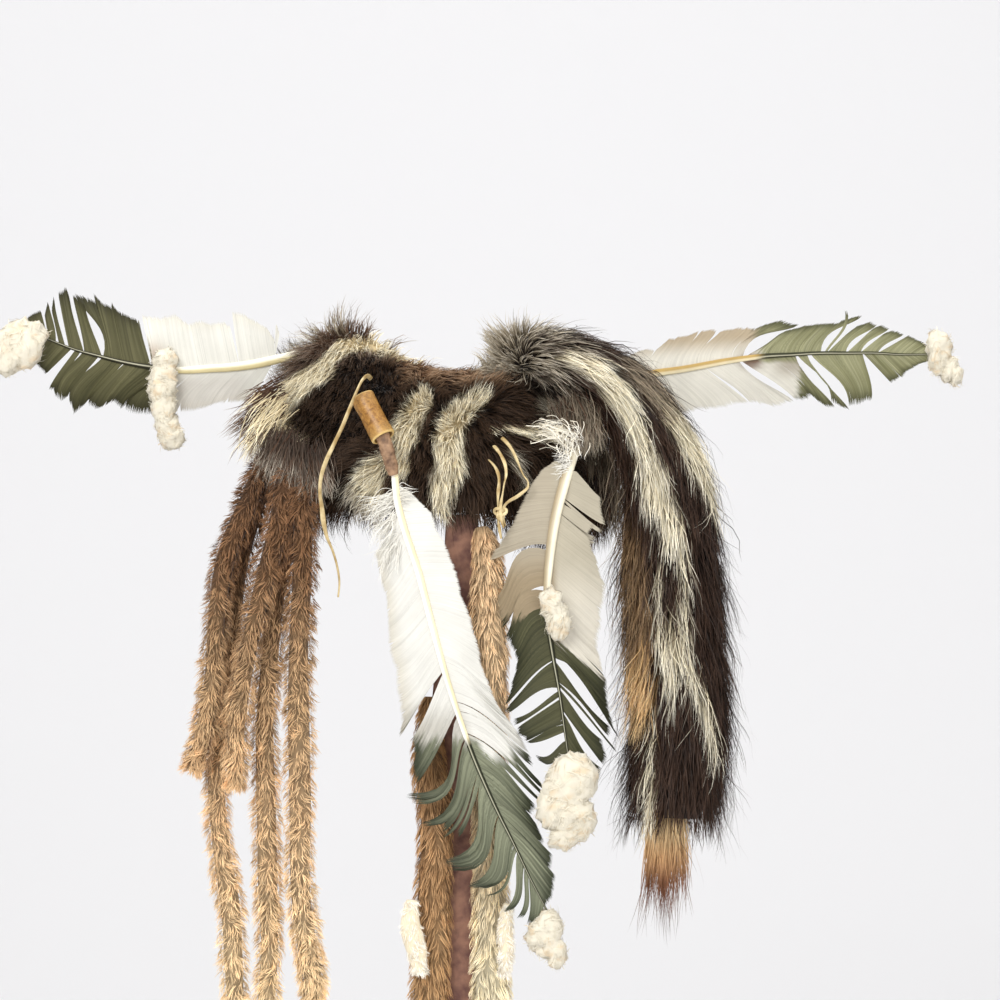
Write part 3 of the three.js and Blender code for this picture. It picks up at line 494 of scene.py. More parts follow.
# Routes of the free ties, from where they leave the fur to their loose ends.
TIES = {
    "thong": [
        (-43, -122, 79), (-45, -130, 80.5), (-48, -138, 77.5), (-51.5, -143, 70), (-55.5, -144.5, 60),
        (-60, -144.5, 49), (-65, -143.5, 38.5), (-70, -142, 28), (-73.3, -140.5, 18), (-74.2, -138.5, 8),
        (-73, -136.5, -2), (-72, -135, -11), (-70, -133.5, -20), (-66.5, -132, -28.5), (-63.8, -131, -38),
        (-62.4, -130, -48), (-63.2, -129.5, -57.5)],
    "tie_lace_left": [
        (31, -124, 28), (33, -128, 26), (35.5, -131, 22.5), (37, -133, 18), (37.2, -133.5, 13),
        (36.7, -134, 8), (36.5, -134.2, 3), (36.6, -134.3, -4), (36.8, -134.3, -10), (37.6, -134.2, -15.5),
        (38.5, -134, -21)],
    "tie_lace_middle": [
        (34, -124, 37), (36.5, -128, 34), (39, -131, 30), (41, -133.5, 25), (41.6, -135, 19),
        (40.4, -136, 13), (39.4, -137, 7), (38.3, -137.1, 1), (38.1, -136.9, -4.5), (38.7, -136.7, -9.5),
        (40.2, -136, -14)],
    "tie_lace_right": [
        (39, -123, 42), (42, -127, 39), (45, -130, 35), (47.5, -132, 30), (50, -133, 24),
        (52.5, -133, 18.5), (55, -133, 15), (55, -133, 11), (52, -133, 8), (48.3, -133.2, 5.2),
        (44, -133.7, 2.8), (40.9, -134.1, 0), (39.6, -134.3, -4), (39.9, -134.3, -8.5), (41.4, -134, -13)],
}
TIE_WIDTHS = {"thong": 3.0, "tie_lace_left": 2.2, "tie_lace_middle": 2.2, "tie_lace_right": 2.2}


# ---------------------------------------------------------------- stage, camera and light
VIEW_DISTANCE = 3000  # from the plane where the feathers hang
VIEW_WIDTH = 630  # of that plane
VIEW_CENTRE = (37.8, -100, 3.15)
FLOOR_DEPTH = 620  # below the rim, well under the lowest tip


def build_stage():
    """Pale floor that curves up into a backdrop, soft lamps and the camera."""
    across = np.linspace(-4200, 4200, 9)
    bend = np.linspace(0, math.pi / 2, 12)
    run, rise, radius = 1500, 3800, 900
    profile = [(-4500, 0)] + [(run + radius * math.sin(a), radius * (1 - math.cos(a))) for a in bend]
    profile.append((run + radius, rise))
    points = [(x, y, z - FLOOR_DEPTH) for y, z in profile for x in across]
    wide = len(across)
    faces = [
        (i * wide + j, i * wide + j + 1, (i + 1) * wide + j + 1, (i + 1) * wide + j)
        for i in range(len(profile) - 1) for j in range(wide - 1)
    ]
    mesh = bpy.data.meshes.new("backdrop")
    mesh.from_pydata([tuple(c * MM for c in p) for p in points], [], faces)
    for polygon in mesh.polygons:
        polygon.use_smooth = True
    backdrop = bpy.data.objects.new("backdrop", mesh)
    bpy.context.scene.collection.objects.link(backdrop)
    paper, _, shader = new_material("Paper_backdrop_matte_white")
    shader.inputs["Base Color"].default_value = (*settings().paper_colour, 1)
    shader.inputs["Roughness"].default_value = 0.9
    mesh.materials.append(paper)

    lens = bpy.data.cameras.new("camera")
    lens.sensor_width = 36
    lens.lens = lens.sensor_width * VIEW_DISTANCE / VIEW_WIDTH
    lens.clip_end = 30
    camera = bpy.data.objects.new("camera", lens)
    x, y, z = VIEW_CENTRE
    camera.location = (x * MM, (y - VIEW_DISTANCE) * MM, z * MM)
    camera.rotation_euler = (math.pi / 2, 0, 0)
    bpy.context.scene.collection.objects.link(camera)
    bpy.context.scene.camera = camera

    lamps = [
        ("key", (-800, -2000, 1200), 1.2, 42),
        ("fill", (1500, -2000, 500), 1.8, 17),
        ("top", (200, -200, 1900), 1.2, 12),
        ("wash", (0, 500, 1700), 2.5, 11),
    ]
    for name, place, size, power in lamps:
        light = bpy.data.lights.new(name, "AREA")
        light.size = size
        light.energy = power * settings().light
        lamp = bpy.data.objects.new(name, light)
        lamp.location = tuple(c * MM for c in place)
        aim = np.array([40, 1600 if name == "wash" else -80, 0]) - np.array(place)
        lamp.rotation_euler = aimed(aim)
        bpy.context.scene.collection.objects.link(lamp)
    world = bpy.data.worlds.new("soft_room")
    world.use_nodes = True
    world.node_tree.nodes["Background"].inputs["Color"].default_value = (*linear("#fdfbf8"), 1)
    world.node_tree.nodes["Background"].inputs["Strength"].default_value = 0.5
    bpy.context.scene.world = world
    bpy.context.scene.view_settings.view_transform = "Standard"


def aimed(direction):
    """Turns a lamp so that it shines along a direction."""
    return Vector(direction).to_track_quat("-Z", "Y").to_euler()


# ---------------------------------------------------------------- the turban
def band_top(theta):
    """Height of the fur's top edge round the ring, as in the frame."""
    hump = 27 * np.exp(-(((theta - 3.95) / 0.5) ** 2)) + 8 * np.exp(-(((theta - 5.35) / 0.42) ** 2))
    return BAND_REST_HEIGHT + hump + 14 * np.exp(-(((theta - 3.1) / 0.55) ** 2))


def band_point(theta, swing, depth, lower):
    """A point of the padded ring: swing goes from -90 degrees at the lower rim to over the top."""
    lift = np.clip(np.cos(swing), 0, 1) ** 0.55
    inward = np.clip(swing - math.pi / 2, 0, None) * HIDE_WALL * 3
    out = depth * lift - inward
    top = band_top(np.mod(theta, TURN)) - lower
    z = -2 + (top + 2) * (1 + np.sin(swing)) / 2
    return np.stack([
        (HEAD_HALF_WIDTH + HIDE_WALL + out) * np.cos(theta),
        (HEAD_HALF_DEPTH + HIDE_WALL + out) * np.sin(theta),
        z,
    ], -1)


def band_axes(theta, swing, depth, lower):
    """The point and its outward normal."""
    step = 1e-3
    here = band_point(theta, swing, depth, lower)
    around = unit(band_point(theta + step, swing, depth, lower) - here)
    upwards = unit(band_point(theta, swing + step, depth, lower) - here)
    return here, unit(np.cross(around, upwards))


# How the fur lies on the wearer's back side: place, heading in degrees (0 to the right, 90 up),
# hair length, and how far it stands off (0 flat, 1 straight out).
BACK_GROOM = [
    # x, z, heading, length, lift
    # the reddish hump on the left
    (-112, 96, 150, 24, 0.8), (-97, 104, 130, 25, 0.85), (-80, 110, 105, 26, 0.9), (-62, 112, 82, 26, 0.9),
    (-46, 108, 55, 26, 0.85), (-30, 102, 22, 27, 0.7), (-16, 95, 0, 22, 0.5), (-100, 90, 175, 22, 0.7),
    (-84, 95, 200, 16, 0.6), (-66, 99, 265, 11, 0.6), (-45, 97, 300, 9, 0.5),
    # the left side, which sweeps down over the strips
    (-118, 80, 190, 26, 0.6), (-124, 66, 200, 30, 0.6), (-104, 74, 215, 27, 0.5), (-112, 58, 228, 30, 0.5),
    (-116, 42, 238, 32, 0.45), (-104, 40, 252, 36, 0.35), (-108, 22, 258, 38, 0.3), (-93, 30, 272, 40, 0.3),
    (-80, 20, 292, 30, 0.3), (-96, 8, 268, 34, 0.3), (-80, 82, 258, 24, 0.5), (-72, 86, 275, 20, 0.5),
    # short dark plush round the bone tube
    (-58, 80, 270, 8, 0.6), (-78, 58, 262, 9, 0.6), (-55, 50, 270, 8, 0.6), (-35, 62, 280, 8, 0.6),
    (-68, 35, 268, 10, 0.5), (-34, 82, 60, 10, 0.7), (-66, 10, 262, 26, 0.35), (-74, 0, 262, 26, 0.35),
    # the pale patch under the tube
    (-40, 32, 172, 24, 0.5), (-44, 20, 200, 15, 0.5), (-50, 10, 220, 18, 0.5), (-42, 0, 250, 20, 0.4),
    (-56, 0, 245, 24, 0.4),
    # the first short stripe
    (-10, 70, 75, 15, 0.9), (-18, 63, 130, 13, 0.9), (-15, 54, 250, 13, 0.6), (-24, 42, 258, 16, 0.5),
    (-25, 26, 268, 20, 0.45), (-20, 6, 272, 22, 0.4), (-8, 48, 270, 9, 0.5), (-10, 28, 265, 12, 0.5),
    (-8, 10, 262, 18, 0.4),
    # the second short stripe
    (30, 68, 48, 24, 0.9), (18, 68, 62, 22, 0.9), (10, 58, 95, 17, 0.8), (0, 48, 155, 13, 0.8),
    (10, 42, 268, 16, 0.55), (14, 30, 290, 16, 0.5), (4, 24, 262, 18, 0.5), (2, 8, 262, 22, 0.4),
    (6, -8, 268, 28, 0.35),
    # the dark side under the tail
    (30, 50, 320, 15, 0.5), (26, 30, 292, 16, 0.4), (26, 6, 275, 26, 0.35), (42, 58, 330, 14, 0.4),
    (45, 42, 345, 22, 0.4), (48, 22, 275, 28, 0.35), (46, 2, 268, 32, 0.3), (62, 48, 0, 26, 0.4),
    (75, 42, 320, 24, 0.4), (66, 20, 275, 36, 0.3), (90, 55, 310, 26, 0.4), (95, 25, 282, 38, 0.3),
    (112, 50, 300, 28, 0.4), (60, 2, 270, 42, 0.2), (78, 2, 272, 44, 0.2), (96, 2, 276, 44, 0.2),
    # the sleek saddle between the humps
    (-24, 90, 355, 9, 0.3), (0, 88, 0, 8, 0.3), (20, 86, 5, 9, 0.3), (5, 77, 345, 9, 0.3),
    (-18, 79, 330, 9, 0.3),
    # the grey hump that the tail comes out of
    (34, 88, 150, 18, 0.7), (44, 96, 125, 18, 0.75), (60, 98, 100, 16, 0.7), (76, 98, 60, 15, 0.6),
    (92, 97, 30, 16, 0.5), (108, 90, 0, 20, 0.5), (60, 80, 280, 10, 0.4), (80, 78, 290, 10, 0.4),
]
FRONT_GROOM = [
    (-100, 80, 120, 26, 0.6), (-60, 80, 250, 22, 0.5), (0, 80, 270, 20, 0.5), (60, 80, 290, 22, 0.5),
    (100, 80, 60, 26, 0.6), (-100, 20, 255, 32, 0.4), (-40, 20, 265, 26, 0.4), (40, 20, 275, 26, 0.4),
    (100, 20, 285, 32, 0.4), (0, 96, 90, 16, 0.6),
]


def groomed(table, x, z):
    """Reads a groom table at many places, weighted by nearness."""
    rows = np.array(table, float)
    gap = (x[:, None] - rows[:, 0]) ** 2 + (z[:, None] - rows[:, 1]) ** 2
    weight = 1 / (gap + 20) ** 2.5
    weight /= weight.sum(1, keepdims=True)
    heading = np.radians(rows[:, 2])
    right, up = weight @ np.cos(heading), weight @ np.sin(heading)
    return right, up, weight @ rows[:, 3], weight @ rows[:, 4]


# Coloured stripes on the wearer's back side: x, z and half width along each.
CREAM_STRIPES = [
    [(8, 91, 4), (-12, 96, 5), (-36, 101, 5), (-58, 101, 5), (-69, 94, 5), (-75, 84, 6)],
    [(-78, 84, 6), (-90, 76, 7), (-102, 68, 9), (-108, 54, 9), (-106, 40, 9), (-98, 28, 10), (-90, 16, 9)],
    [(-9, 69, 6), (-17, 58, 7), (-23, 44, 8), (-26, 31, 7), (-23, 20, 4)],
    [(27, 69, 5), (18, 63, 7), (8, 51, 9), (6, 39, 9), (7, 27, 9), (4, 15, 9), (0, 4, 7), (3, -5, 5)],
    [(-38, 29, 5), (-45, 17, 9), (-44, 4, 6)],
    [(35, 45, 1.2), (48, 47, 1.5), (60, 47, 2), (72, 43, 3), (82, 38, 2.5)],
]
GREY_STRIPES = [
    [(-112, 92, 5), (-84, 112, 4), (-60, 118, 3)],
    [(-118, 60, 5), (-118, 34, 7), (-106, 14, 8), (-88, 8, 8)],
    [(66, 62, 3), (80, 57, 5), (94, 43, 6), (103, 22, 6), (108, 4, 6)],
    [(30, 92, 8), (44, 99, 9), (60, 100, 10), (80, 99, 10), (106, 96, 11)],
    [(-56, 4, 7), (-40, -6, 6)],
    [(50, 30, 3), (54, 10, 4)],
]
FRONT_STRIPES = [
    [(-112, 60, 8), (-60, 74, 9), (0, 70, 9), (60, 74, 9), (112, 60, 8)],
    [(-112, 24, 7), (-60, 34, 8), (0, 28, 8), (60, 34, 8), (112, 24, 7)],
]


def striped(stripes, x, z, edge):
    """How much a place is on a stripe: 1 on it, 0 away from it."""
    on = np.zeros_like(x)
    for stripe in stripes:
        line = along_rows(stripe, np.linspace(0, 1, 40))
        gap = np.hypot(x[:, None] - line[:, 0], z[:, None] - line[:, 1]) / line[:, 2]
        on = np.maximum(on, 1 - smooth(1 - edge, 1 + edge, gap.min(1)))
    return on


# Colours of a hair from its root to its tip.
DARK_HAIR = dye_of("#120b07", "#291c12", "#523f30")
HUMP_HAIR = dye_of("#38241a", "#5c4231", "#ab9a88")
SADDLE_HAIR = dye_of("#4b3323", "#7b5b42", "#b89c7e")
CREAM_HAIR = dye_of("#c2b08a", "#f2e4c0", "#fffbe8")
GREY_HAIR = dye_of("#6e6250", "#b3a890", "#e6dfcf")
SIDE_START = 15  # mm either side of the ear line over which back fur turns to front fur


def band_look(points):
    """Shares of the hump, saddle, grey and cream colours at places on the ring."""
    x, y, z = points.T
    jitter = 2.4 * wander(points, 22, 5)
    share = smooth(-SIDE_START, SIDE_START, y)
    cream = striped(CREAM_STRIPES, x + jitter, z + jitter, 0.3) * (1 - share)
    cream = np.maximum(cream, striped(FRONT_STRIPES, x + jitter, z + jitter, 0.35) * share)
    grey = striped(GREY_STRIPES, x + jitter, z - jitter, 0.6) * (1 - share) * 0.9
    hump = smooth(86, 100, z + jitter) * (1 - smooth(-30, -10, x))
    hump = np.maximum(hump, 0.8 * (1 - smooth(-104, -86, x)) * smooth(40, 70, z)) * (1 - share)
    saddle = smooth(73, 82, z + 0.5 * jitter) * smooth(-34, -14, x) * (1 - smooth(36, 48, x)) * (1 - share)
    return hump, saddle, grey, cream


def band_dye(points, steps, rng):
    """Colours of each hair from root to tip."""
    shares = band_look(points)
    place = np.linspace(0, 1, steps + 1)
    ramps = [np.stack([np.interp(place, [0, 0.5, 1], ramp[:, c]) for c in range(3)], -1)
             for ramp in (DARK_HAIR, HUMP_HAIR, SADDLE_HAIR, GREY_HAIR, CREAM_HAIR)]
    dye = np.repeat(ramps[0][None], len(points), axis=0)
    for ramp, amount in zip(ramps[1:], shares):
        amount = np.clip(amount + rng.normal(0, 0.2, len(points)) * (amount > 0.02), 0, 1)
        dye = blend(dye, ramp[None], np.repeat(amount[:, None], steps + 1, axis=1))
    return dye * rng.uniform(0.75, 1.3, len(points))[:, None, None]


def band_places(count, rng, crowd):
    """Scatters roots round the ring, closer together on the wearer's back side."""
    theta = rng.uniform(0, TURN, count * 3)
    swing = np.arcsin(rng.uniform(-0.98, 1, count * 3)) + 0.35 * rng.uniform(0, 1, count * 3) ** 4
    chance = (1 + crowd * smooth(-0.2, 0.6, -np.sin(theta))) / (1 + crowd)
    kept = rng.uniform(size=count * 3) < chance
    return theta[kept][:count], swing[kept][:count]


def band_hairs(name, count, coat):
    """One coat of hair on the turban: the plush, or the longer guard hair."""
    rng = np.random.default_rng(coat["seed"])
    theta, swing = band_places(count, rng, 1.8)
    roots, normal = band_axes(theta, swing, coat["depth"], BASE_DROP)
    x, y, z = roots.T
    share = smooth(-SIDE_START, SIDE_START, y)
    back, front = groomed(BACK_GROOM, x, z), groomed(FRONT_GROOM, x, z)
    right, up, length, lift = [b * (1 - share) + f * share for b, f in zip(back, front)]
    swirl = coat["swirl"] * wander(roots, 13, 6)
    right, up = right * np.cos(swirl) - up * np.sin(swirl), right * np.sin(swirl) + up * np.cos(swirl)
    heading = np.stack([right, np.zeros_like(right), up], -1)
    lay = unit(heading - normal * (heading * normal).sum(-1, keepdims=True))
    length = np.minimum(length * coat["longer"] * rng.uniform(0.6, 1.2, len(theta)), coat["longest"])
    length *= settings().hair_length
    lift = np.clip(lift + rng.normal(0, 0.14, len(theta)), 0.05, 1)
    first = unit(blend(lay, normal, np.clip(lift + 0.3, 0, 1)))
    last = unit(blend(lay, normal, lift * 0.5) + np.array([0, 0, -0.1]))
    paths = strands(roots, first, last, length, coat["steps"], rng, coat["wild"], coat["wave"])
    paths = gather(paths, count // coat["per_lock"], coat["pull"], rng)
    return ribbons(
        name, paths, unit(normal + rng.normal(0, 0.35, normal.shape)),
        coat["width"] * rng.uniform(0.7, 1.3, len(theta)),
        band_dye(paths[:, (coat["steps"] + 1) // 2], coat["steps"], rng), finish(coat["finish"]),
    )


BASE_DEPTH = 16  # the underfur's surface, out from the hide
BASE_DROP = 4.5  # how far the underfur's top is below the tips of the fur
PLUSH = dict(
    seed=11, depth=16, longer=0.5, longest=11, width=0.85, steps=2, swirl=0.4, wild=0.15, wave=0.0,
    per_lock=30, pull=0.4, finish="underfur",
)
GUARD_HAIR = dict(
    seed=12, depth=17, longer=1.0, longest=44, width=0.45, steps=3, swirl=0.3, wild=0.25, wave=0.14,
    per_lock=30, pull=0.38, finish="guard_hair",
)
STRAY_HAIR = dict(
    seed=13, depth=18, longer=1.2, longest=46, width=0.36, steps=5, swirl=0.5, wild=0.35, wave=0.25,
    per_lock=9, pull=0.35, finish="guard_hair",
)


# Locks that hang free of the ring: x, y, z, heading in degrees, length and kind of hair.
LOCKS = [
    # over the tops of the strips
    (-106, -62, 70, 200, 24, "hump"), (-112, -64, 58, 214, 28, "hump"), (-104, -76, 62, 222, 26, "cream"),
    (-108, -78, 50, 236, 30, "cream"), (-103, -84, 42, 246, 32, "badger"), (-95, -94, 40, 258, 34, "badger"),
    (-87, -100, 36, 268, 34, "badger"), (-79, -102, 32, 282, 32, "badger"),
    # over the quill of the short hanging feather
    (76, -113, 62, 300, 22, "grey"), (85, -115, 64, 285, 25, "grey"), (93, -112, 59, 268, 26, "grey"),
    (86, -122, 52, 276, 18, "grey"), (66, -121, 47, 5, 17, "wisp"), (76, -127, 45, 340, 14, "wisp"),
    (82, -127, 41, 250, 12, "wisp"),
    # the ragged lower edge behind that feather
    (58, -104, 4, 266, 34, "dark"), (70, -98, 4, 268, 38, "dark"), (82, -92, 4, 270, 40, "dark"),
    (92, -84, 8, 272, 42, "dark"), (100, -78, 14, 276, 42, "dark"), (104, -74, 30, 275, 40, "grey"),
    (106, -76, 14, 272, 40, "grey"),
]
LOCK_TINTS = {
    "hump": HUMP_HAIR, "cream": CREAM_HAIR, "dark": DARK_HAIR,
    "grey": dye_of("#3d3328", "#7d705e", "#b3a794"), "badger": dye_of("#33271e", "#5f5044", "#dcd2c0"),
    "wisp": dye_of("#d8cfba", "#fbf6e8", "#fffdf6"),
}


def build_locks():
    """Longer locks: over the strips, over a quill and along the lower edge."""
    rng = np.random.default_rng(14)
    per_place, steps = 190, 5
    rows = np.repeat(np.array([lock[:5] for lock in LOCKS], float), per_place, axis=0)
    kinds = np.repeat(np.array([list(LOCK_TINTS).index(lock[5]) for lock in LOCKS]), per_place)
    wisp = kinds == list(LOCK_TINTS).index("wisp")
    kept = ~wisp | (rng.uniform(size=len(rows)) < 0.3)
    rows, kinds, wisp = rows[kept], kinds[kept], wisp[kept]
    count = len(rows)
    roots = rows[:, :3] + rng.normal(0, 1, (count, 3)) * np.array([4.5, 3, 4.5])
    heading = np.radians(rows[:, 3] + rng.normal(0, 10, count))
    lay = np.stack([np.cos(heading), np.full(count, -0.1), np.sin(heading)], -1)
    size = rows[:, 4] * rng.uniform(0.5, 1.15, count)
    first = unit(lay + np.array([0, -0.45, 0]))
    last = unit(lay + np.array([0, 0.25, -0.35]))
    paths = gather(strands(roots, first, last, size, steps, rng, 0.22, 0.2), count // 9, 0.4, rng)
    wave = np.sin(np.linspace(0, 6, steps + 1))[None, :, None]
    paths[wisp] += 1.2 * rng.normal(size=(wisp.sum(), 1, 3)) * wave
    share = np.linspace(0, 1, steps + 1)
    ramps = np.stack([np.stack([np.interp(share, [0, 0.6, 1], tint[:, c]) for c in range(3)], -1)
                      for tint in LOCK_TINTS.values()])
    mixed = np.where((rng.uniform(size=count) < 0.15) & ~wisp, 0, kinds)
    dye = ramps[mixed] * rng.uniform(0.75, 1.2, (count, 1, 1))
    ribbons(
        "band_locks", paths, np.array([0, -1, 0]) + rng.normal(0, 0.3, (count, 3)),
        0.48 * rng.uniform(0.7, 1.3, count), dye, finish("guard_hair"),
    )


def dress_hide_ring():
    """Gives the frame's own hide ring its finish."""
    ring = bpy.data.objects["pelt_band"]
    ring.data.materials.clear()
    ring.data.materials.append(finish("hide"))


def build_band():
    """The padded fur ring under its plush, its guard hair and a few long stray hairs."""
    around, over = 160, 34
    theta = np.repeat(np.arange(around) / around * TURN, over)
    swing = np.tile(np.linspace(-math.pi / 2, math.pi / 2 + 0.9, over), around)
    points, normal = band_axes(theta, swing, BASE_DEPTH, BASE_DROP)
    points = points + normal * (1.2 * wander(points, 16, 3))[:, None] * (np.cos(swing) > 0.3)[:, None]
    dye = np.repeat(DARK_HAIR[:1], len(points), axis=0)
    for ramp, amount in zip((HUMP_HAIR, SADDLE_HAIR, GREY_HAIR, CREAM_HAIR), band_look(points)):
        dye = blend(dye, ramp[0][None], amount)
    i = np.arange(around)[:, None] * over
    after = (np.arange(around)[:, None] + 1) % around * over
    j = np.arange(over - 1)[None]
    faces = np.stack([i + j, after + j, after + j + 1, i + j + 1], -1).reshape(-1, 4)
    skin = write_mesh("band_underfur", points, [faces], finish("underfur"), dye=dye)
    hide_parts("band_fur")
    band_hairs("band_plush", 26000, PLUSH)
    band_hairs("band_guard_hair", 22000, GUARD_HAIR)
    band_hairs("band_stray_hair", 5000, STRAY_HAIR)
    build_locks()


# ---------------------------------------------------------------- the tail
# Stripes along the tail: x, z and half width. Later ones lie over earlier ones.
TAIL_STRIPES = [
    ("ash", [(62, 66, 4), (80, 58, 6), (95, 44, 7), (104, 22, 7), (109, 2, 7), (112, -14, 6)]),
    ("tan", [(118, -8, 4), (121, -30, 8), (122, -60, 9), (124, -92, 9)]),
    ("gold", [(124, -96, 5), (126, -110, 8), (125, -124, 8), (121, -134, 4)]),
    ("cream", [(80, 92, 5), (95, 87, 7), (105, 79, 8), (115, 63, 8), (123, 47, 7), (129, 31, 7), (134, 15, 8),
               (141, -2, 8), (146, -18, 7), (151, -34, 4.5), (153, -57, 3.4), (154, -73, 3), (151, -89, 4),
               (147, -97, 6), (145, -106, 5), (144.5, -114, 3), (144.5, -124, 1.6), (144, -140, 0.8)]),
    ("cream", [(136, -34, 1.2), (136.5, -57, 1.2), (137, -73, 1.8), (139, -89, 3.2), (142, -98, 4)]),
    ("cream", [(145.5, -66, 1.5), (146, -80, 3), (146, -97, 4)]),
    ("cream", [(154, -96, 3.5), (159, -109, 4), (164.5, -121, 3.6), (168.5, -133, 3.2), (170, -146, 3),
               (171.5, -158, 2)]),
    ("cream", [(133, -119, 1.2), (134.5, -137, 1.4), (133, -158, 1.8), (132, -172, 3), (132, -186, 3.4),
               (131, -200, 2.5)]),
    ("ash", [(118, 90, 5), (131, 75, 6), (140, 64, 6), (148, 54, 5)]),
    ("cream", [(146, 60, 3), (152.5, 47, 7), (157, 38.6, 7.5), (161, 30.5, 7), (165, 22.5, 6), (168, 14.5, 5),
               (171, 6.5, 4), (173, -1.6, 3.5), (175.5, -9.6, 2.5)]),
]
TAIL_COLOURS = {
    # root, middle and tip
    "dark": dye_of("#120b07", "#2b1c14", "#564236"),
    "ash": dye_of("#40362c", "#857764", "#b5a68f"),
    "tan": dye_of("#2a1f15", "#6d543b", "#b59873"),
    "gold": dye_of("#9c7446", "#dcb47e", "#f3d5a4"),
    "cream": dye_of("#a89a7c", "#e6dbbd", "#fffaea"),
    "grey": dye_of("#7a6e5c", "#b9ad97", "#e6decd"),
}
TAIL_HAIR_END = -182  # the thick dark hair stops here, and a thin brush goes on
HUMP_CENTRE = np.array([74, -88, 76])  # the hair round the tail's start stands out from here


def tail_dye(roots, place, steps, rng):
    """Colours of each tail hair from root to tip, by the stripe that its root is in."""
    x, _, z = roots.T
    share = np.linspace(0, 1, steps + 1)
    jitter = 1.3 * wander(roots, 18, 8) + rng.normal(0, 1.5, len(x))

    def ramp(kind):
        rows = TAIL_COLOURS[kind]
        return np.stack([np.interp(share, [0, 0.5, 1], rows[:, c]) for c in range(3)], -1)[None]

    dye = np.repeat(ramp("dark"), len(x), axis=0)
    for kind, stripe in TAIL_STRIPES:
        amount = striped([stripe], x + jitter, z + 0.3 * jitter, 0.25)
        dye = blend(dye, ramp(kind), np.repeat(amount[:, None], steps + 1, axis=1))
    ashen = 1 - smooth(0.05, 0.17, place + 0.02 * jitter)
    dye = blend(dye, ramp("grey"), np.repeat(ashen[:, None] * 0.9, steps + 1, axis=1))
    return dye * rng.uniform(0.65, 1.3, len(x))[:, None, None]


def tail_hairs(name, count, coat):
    """Long hairs that lie down the tail and stand out from the hump that it starts in."""
    rng = np.random.default_rng(coat["seed"])
    draw = rng.uniform(0, 0.95, count * 3)
    body = along_rows(TAIL, draw)
    kept = (rng.uniform(0, 35, count * 3) < body[:, 3]) & (body[:, 2] > TAIL_HAIR_END)
    place = draw[kept][:count]
    count = len(place)
    angle = rng.uniform(0, TURN, count)
    centre, along, wide, deep = route_frame(TAIL, place)
    aside, forth = np.cos(angle)[:, None], np.sin(angle)[:, None]
    out = unit(wide * aside + deep * forth)
    roots = centre[:, :3] + coat["root"] * (wide * centre[:, 3:4] * aside + deep * centre[:, 4:5] * forth)
    total = length_of(along_rows(TAIL, np.linspace(0, 1, 80)))
    size = settings().hair_length * coat["length"] * rng.uniform(0.55, 1.25, count)
    size *= np.interp(place, [0, 0.1, 0.2, 0.8, 1], [0.46, 0.4, 0.8, 1, 0.9])
    _, along_tip, _, _ = route_frame(TAIL, np.clip(place + size / total, 0, 1))
    hump = (1 - smooth(0.04, 0.2, place))[:, None]
    start = (1 - smooth(0.02, 0.09, place))[:, None]
    away = unit(roots - HUMP_CENTRE + np.array([0, -4, 4]))
    lift = (coat["lift"] * (1 - 0.45 * np.clip(np.cos(angle), 0, 1)))[:, None]
    first = unit(along * (0.9 - 0.5 * hump - 0.4 * start) + out * (lift + 0.3) + away * (0.5 * hump + start))
    last = unit(along_tip * (1 - 0.45 * hump - 0.5 * start) + out * lift * 0.6 + away * (0.3 * hump + start)
                + np.array([0, 0, -0.1]))
    paths = strands(roots, first, last, size, 5, rng, coat["wild"], coat["wave"])
    paths = gather(paths, count // coat["per_lock"], coat["pull"], rng)
    return ribbons(
        name, paths, unit(out + rng.normal(0, 0.45, out.shape)), coat["width"] * rng.uniform(0.7, 1.3, count),
        tail_dye(paths[:, 2], place, 5, rng), finish("tail_hair"),
    )


TAIL_COAT = dict(
    seed=21, root=0.72, length=37, width=0.62, lift=0.18, wild=0.16, wave=0.16, per_lock=16, pull=0.5,
)
TAIL_STRAYS = dict(
    seed=22, root=0.8, length=50, width=0.42, lift=0.3, wild=0.3, wave=0.34, per_lock=8, pull=0.4,
)


def tail_brush():
    """The thin brush at the end: gold where it starts, russet at its tips."""
    rng = np.random.default_rng(23)
    count, steps = 900, 6
    angle = rng.uniform(0, TURN, count)
    spread = np.sqrt(rng.uniform(0, 1, count))
    aside, forth = spread * np.cos(angle), spread * np.sin(angle)
    roots = np.stack([142.5 + 10 * aside, -92 + 8 * forth, rng.uniform(-197, -170, count)], -1)
    first = unit(np.stack([0.1 * aside, -0.15 + 0.1 * forth, -np.ones(count)], -1))
    last = unit(np.stack([0.12 * aside, 0.1 * forth, -np.ones(count)], -1))
    size = rng.uniform(0.3, 1, count) * 88
    paths = gather(strands(roots, first, last, size, steps, rng, 0.13, 0.2), 46, 0.5, rng)
    low = -paths[..., 2]
    stops = dye_of("#4a3220", "#b98f5d", "#fbe0ae", "#d3a878", "#7d523a", "#54352a")
    dye = np.stack([np.interp(low, [178, 190, 204, 220, 236, 270], stops[:, c]) for c in range(3)], -1)
    ribbons(
        "tail_brush", paths, np.array([0, -1, 0]) + rng.normal(0, 0.4, (count, 3)),
        0.5 * rng.uniform(0.7, 1.3, count), dye * rng.uniform(0.75, 1.2, (count, 1, 1)),
        finish("tail_hair"),
    )


def build_tail():
    """The tail's core and its long striped hair."""
    place = np.linspace(0, 0.8, 60)
    centre, _, wide, deep = route_frame(TAIL, place)
    core = tube(
        "tail_core", centre[:, :3], wide, deep, centre[:, 3] * 0.7, centre[:, 4] * 0.7,
        finish("underfur"), dye=np.repeat(dye_of("#1d140e"), len(place), axis=0), sides=20,
    )
    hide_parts("tail")
    tail_hairs("tail_hair", 16500, TAIL_COAT)
    tail_hairs("tail_stray_hair", 4500, TAIL_STRAYS)
    tail_brush()


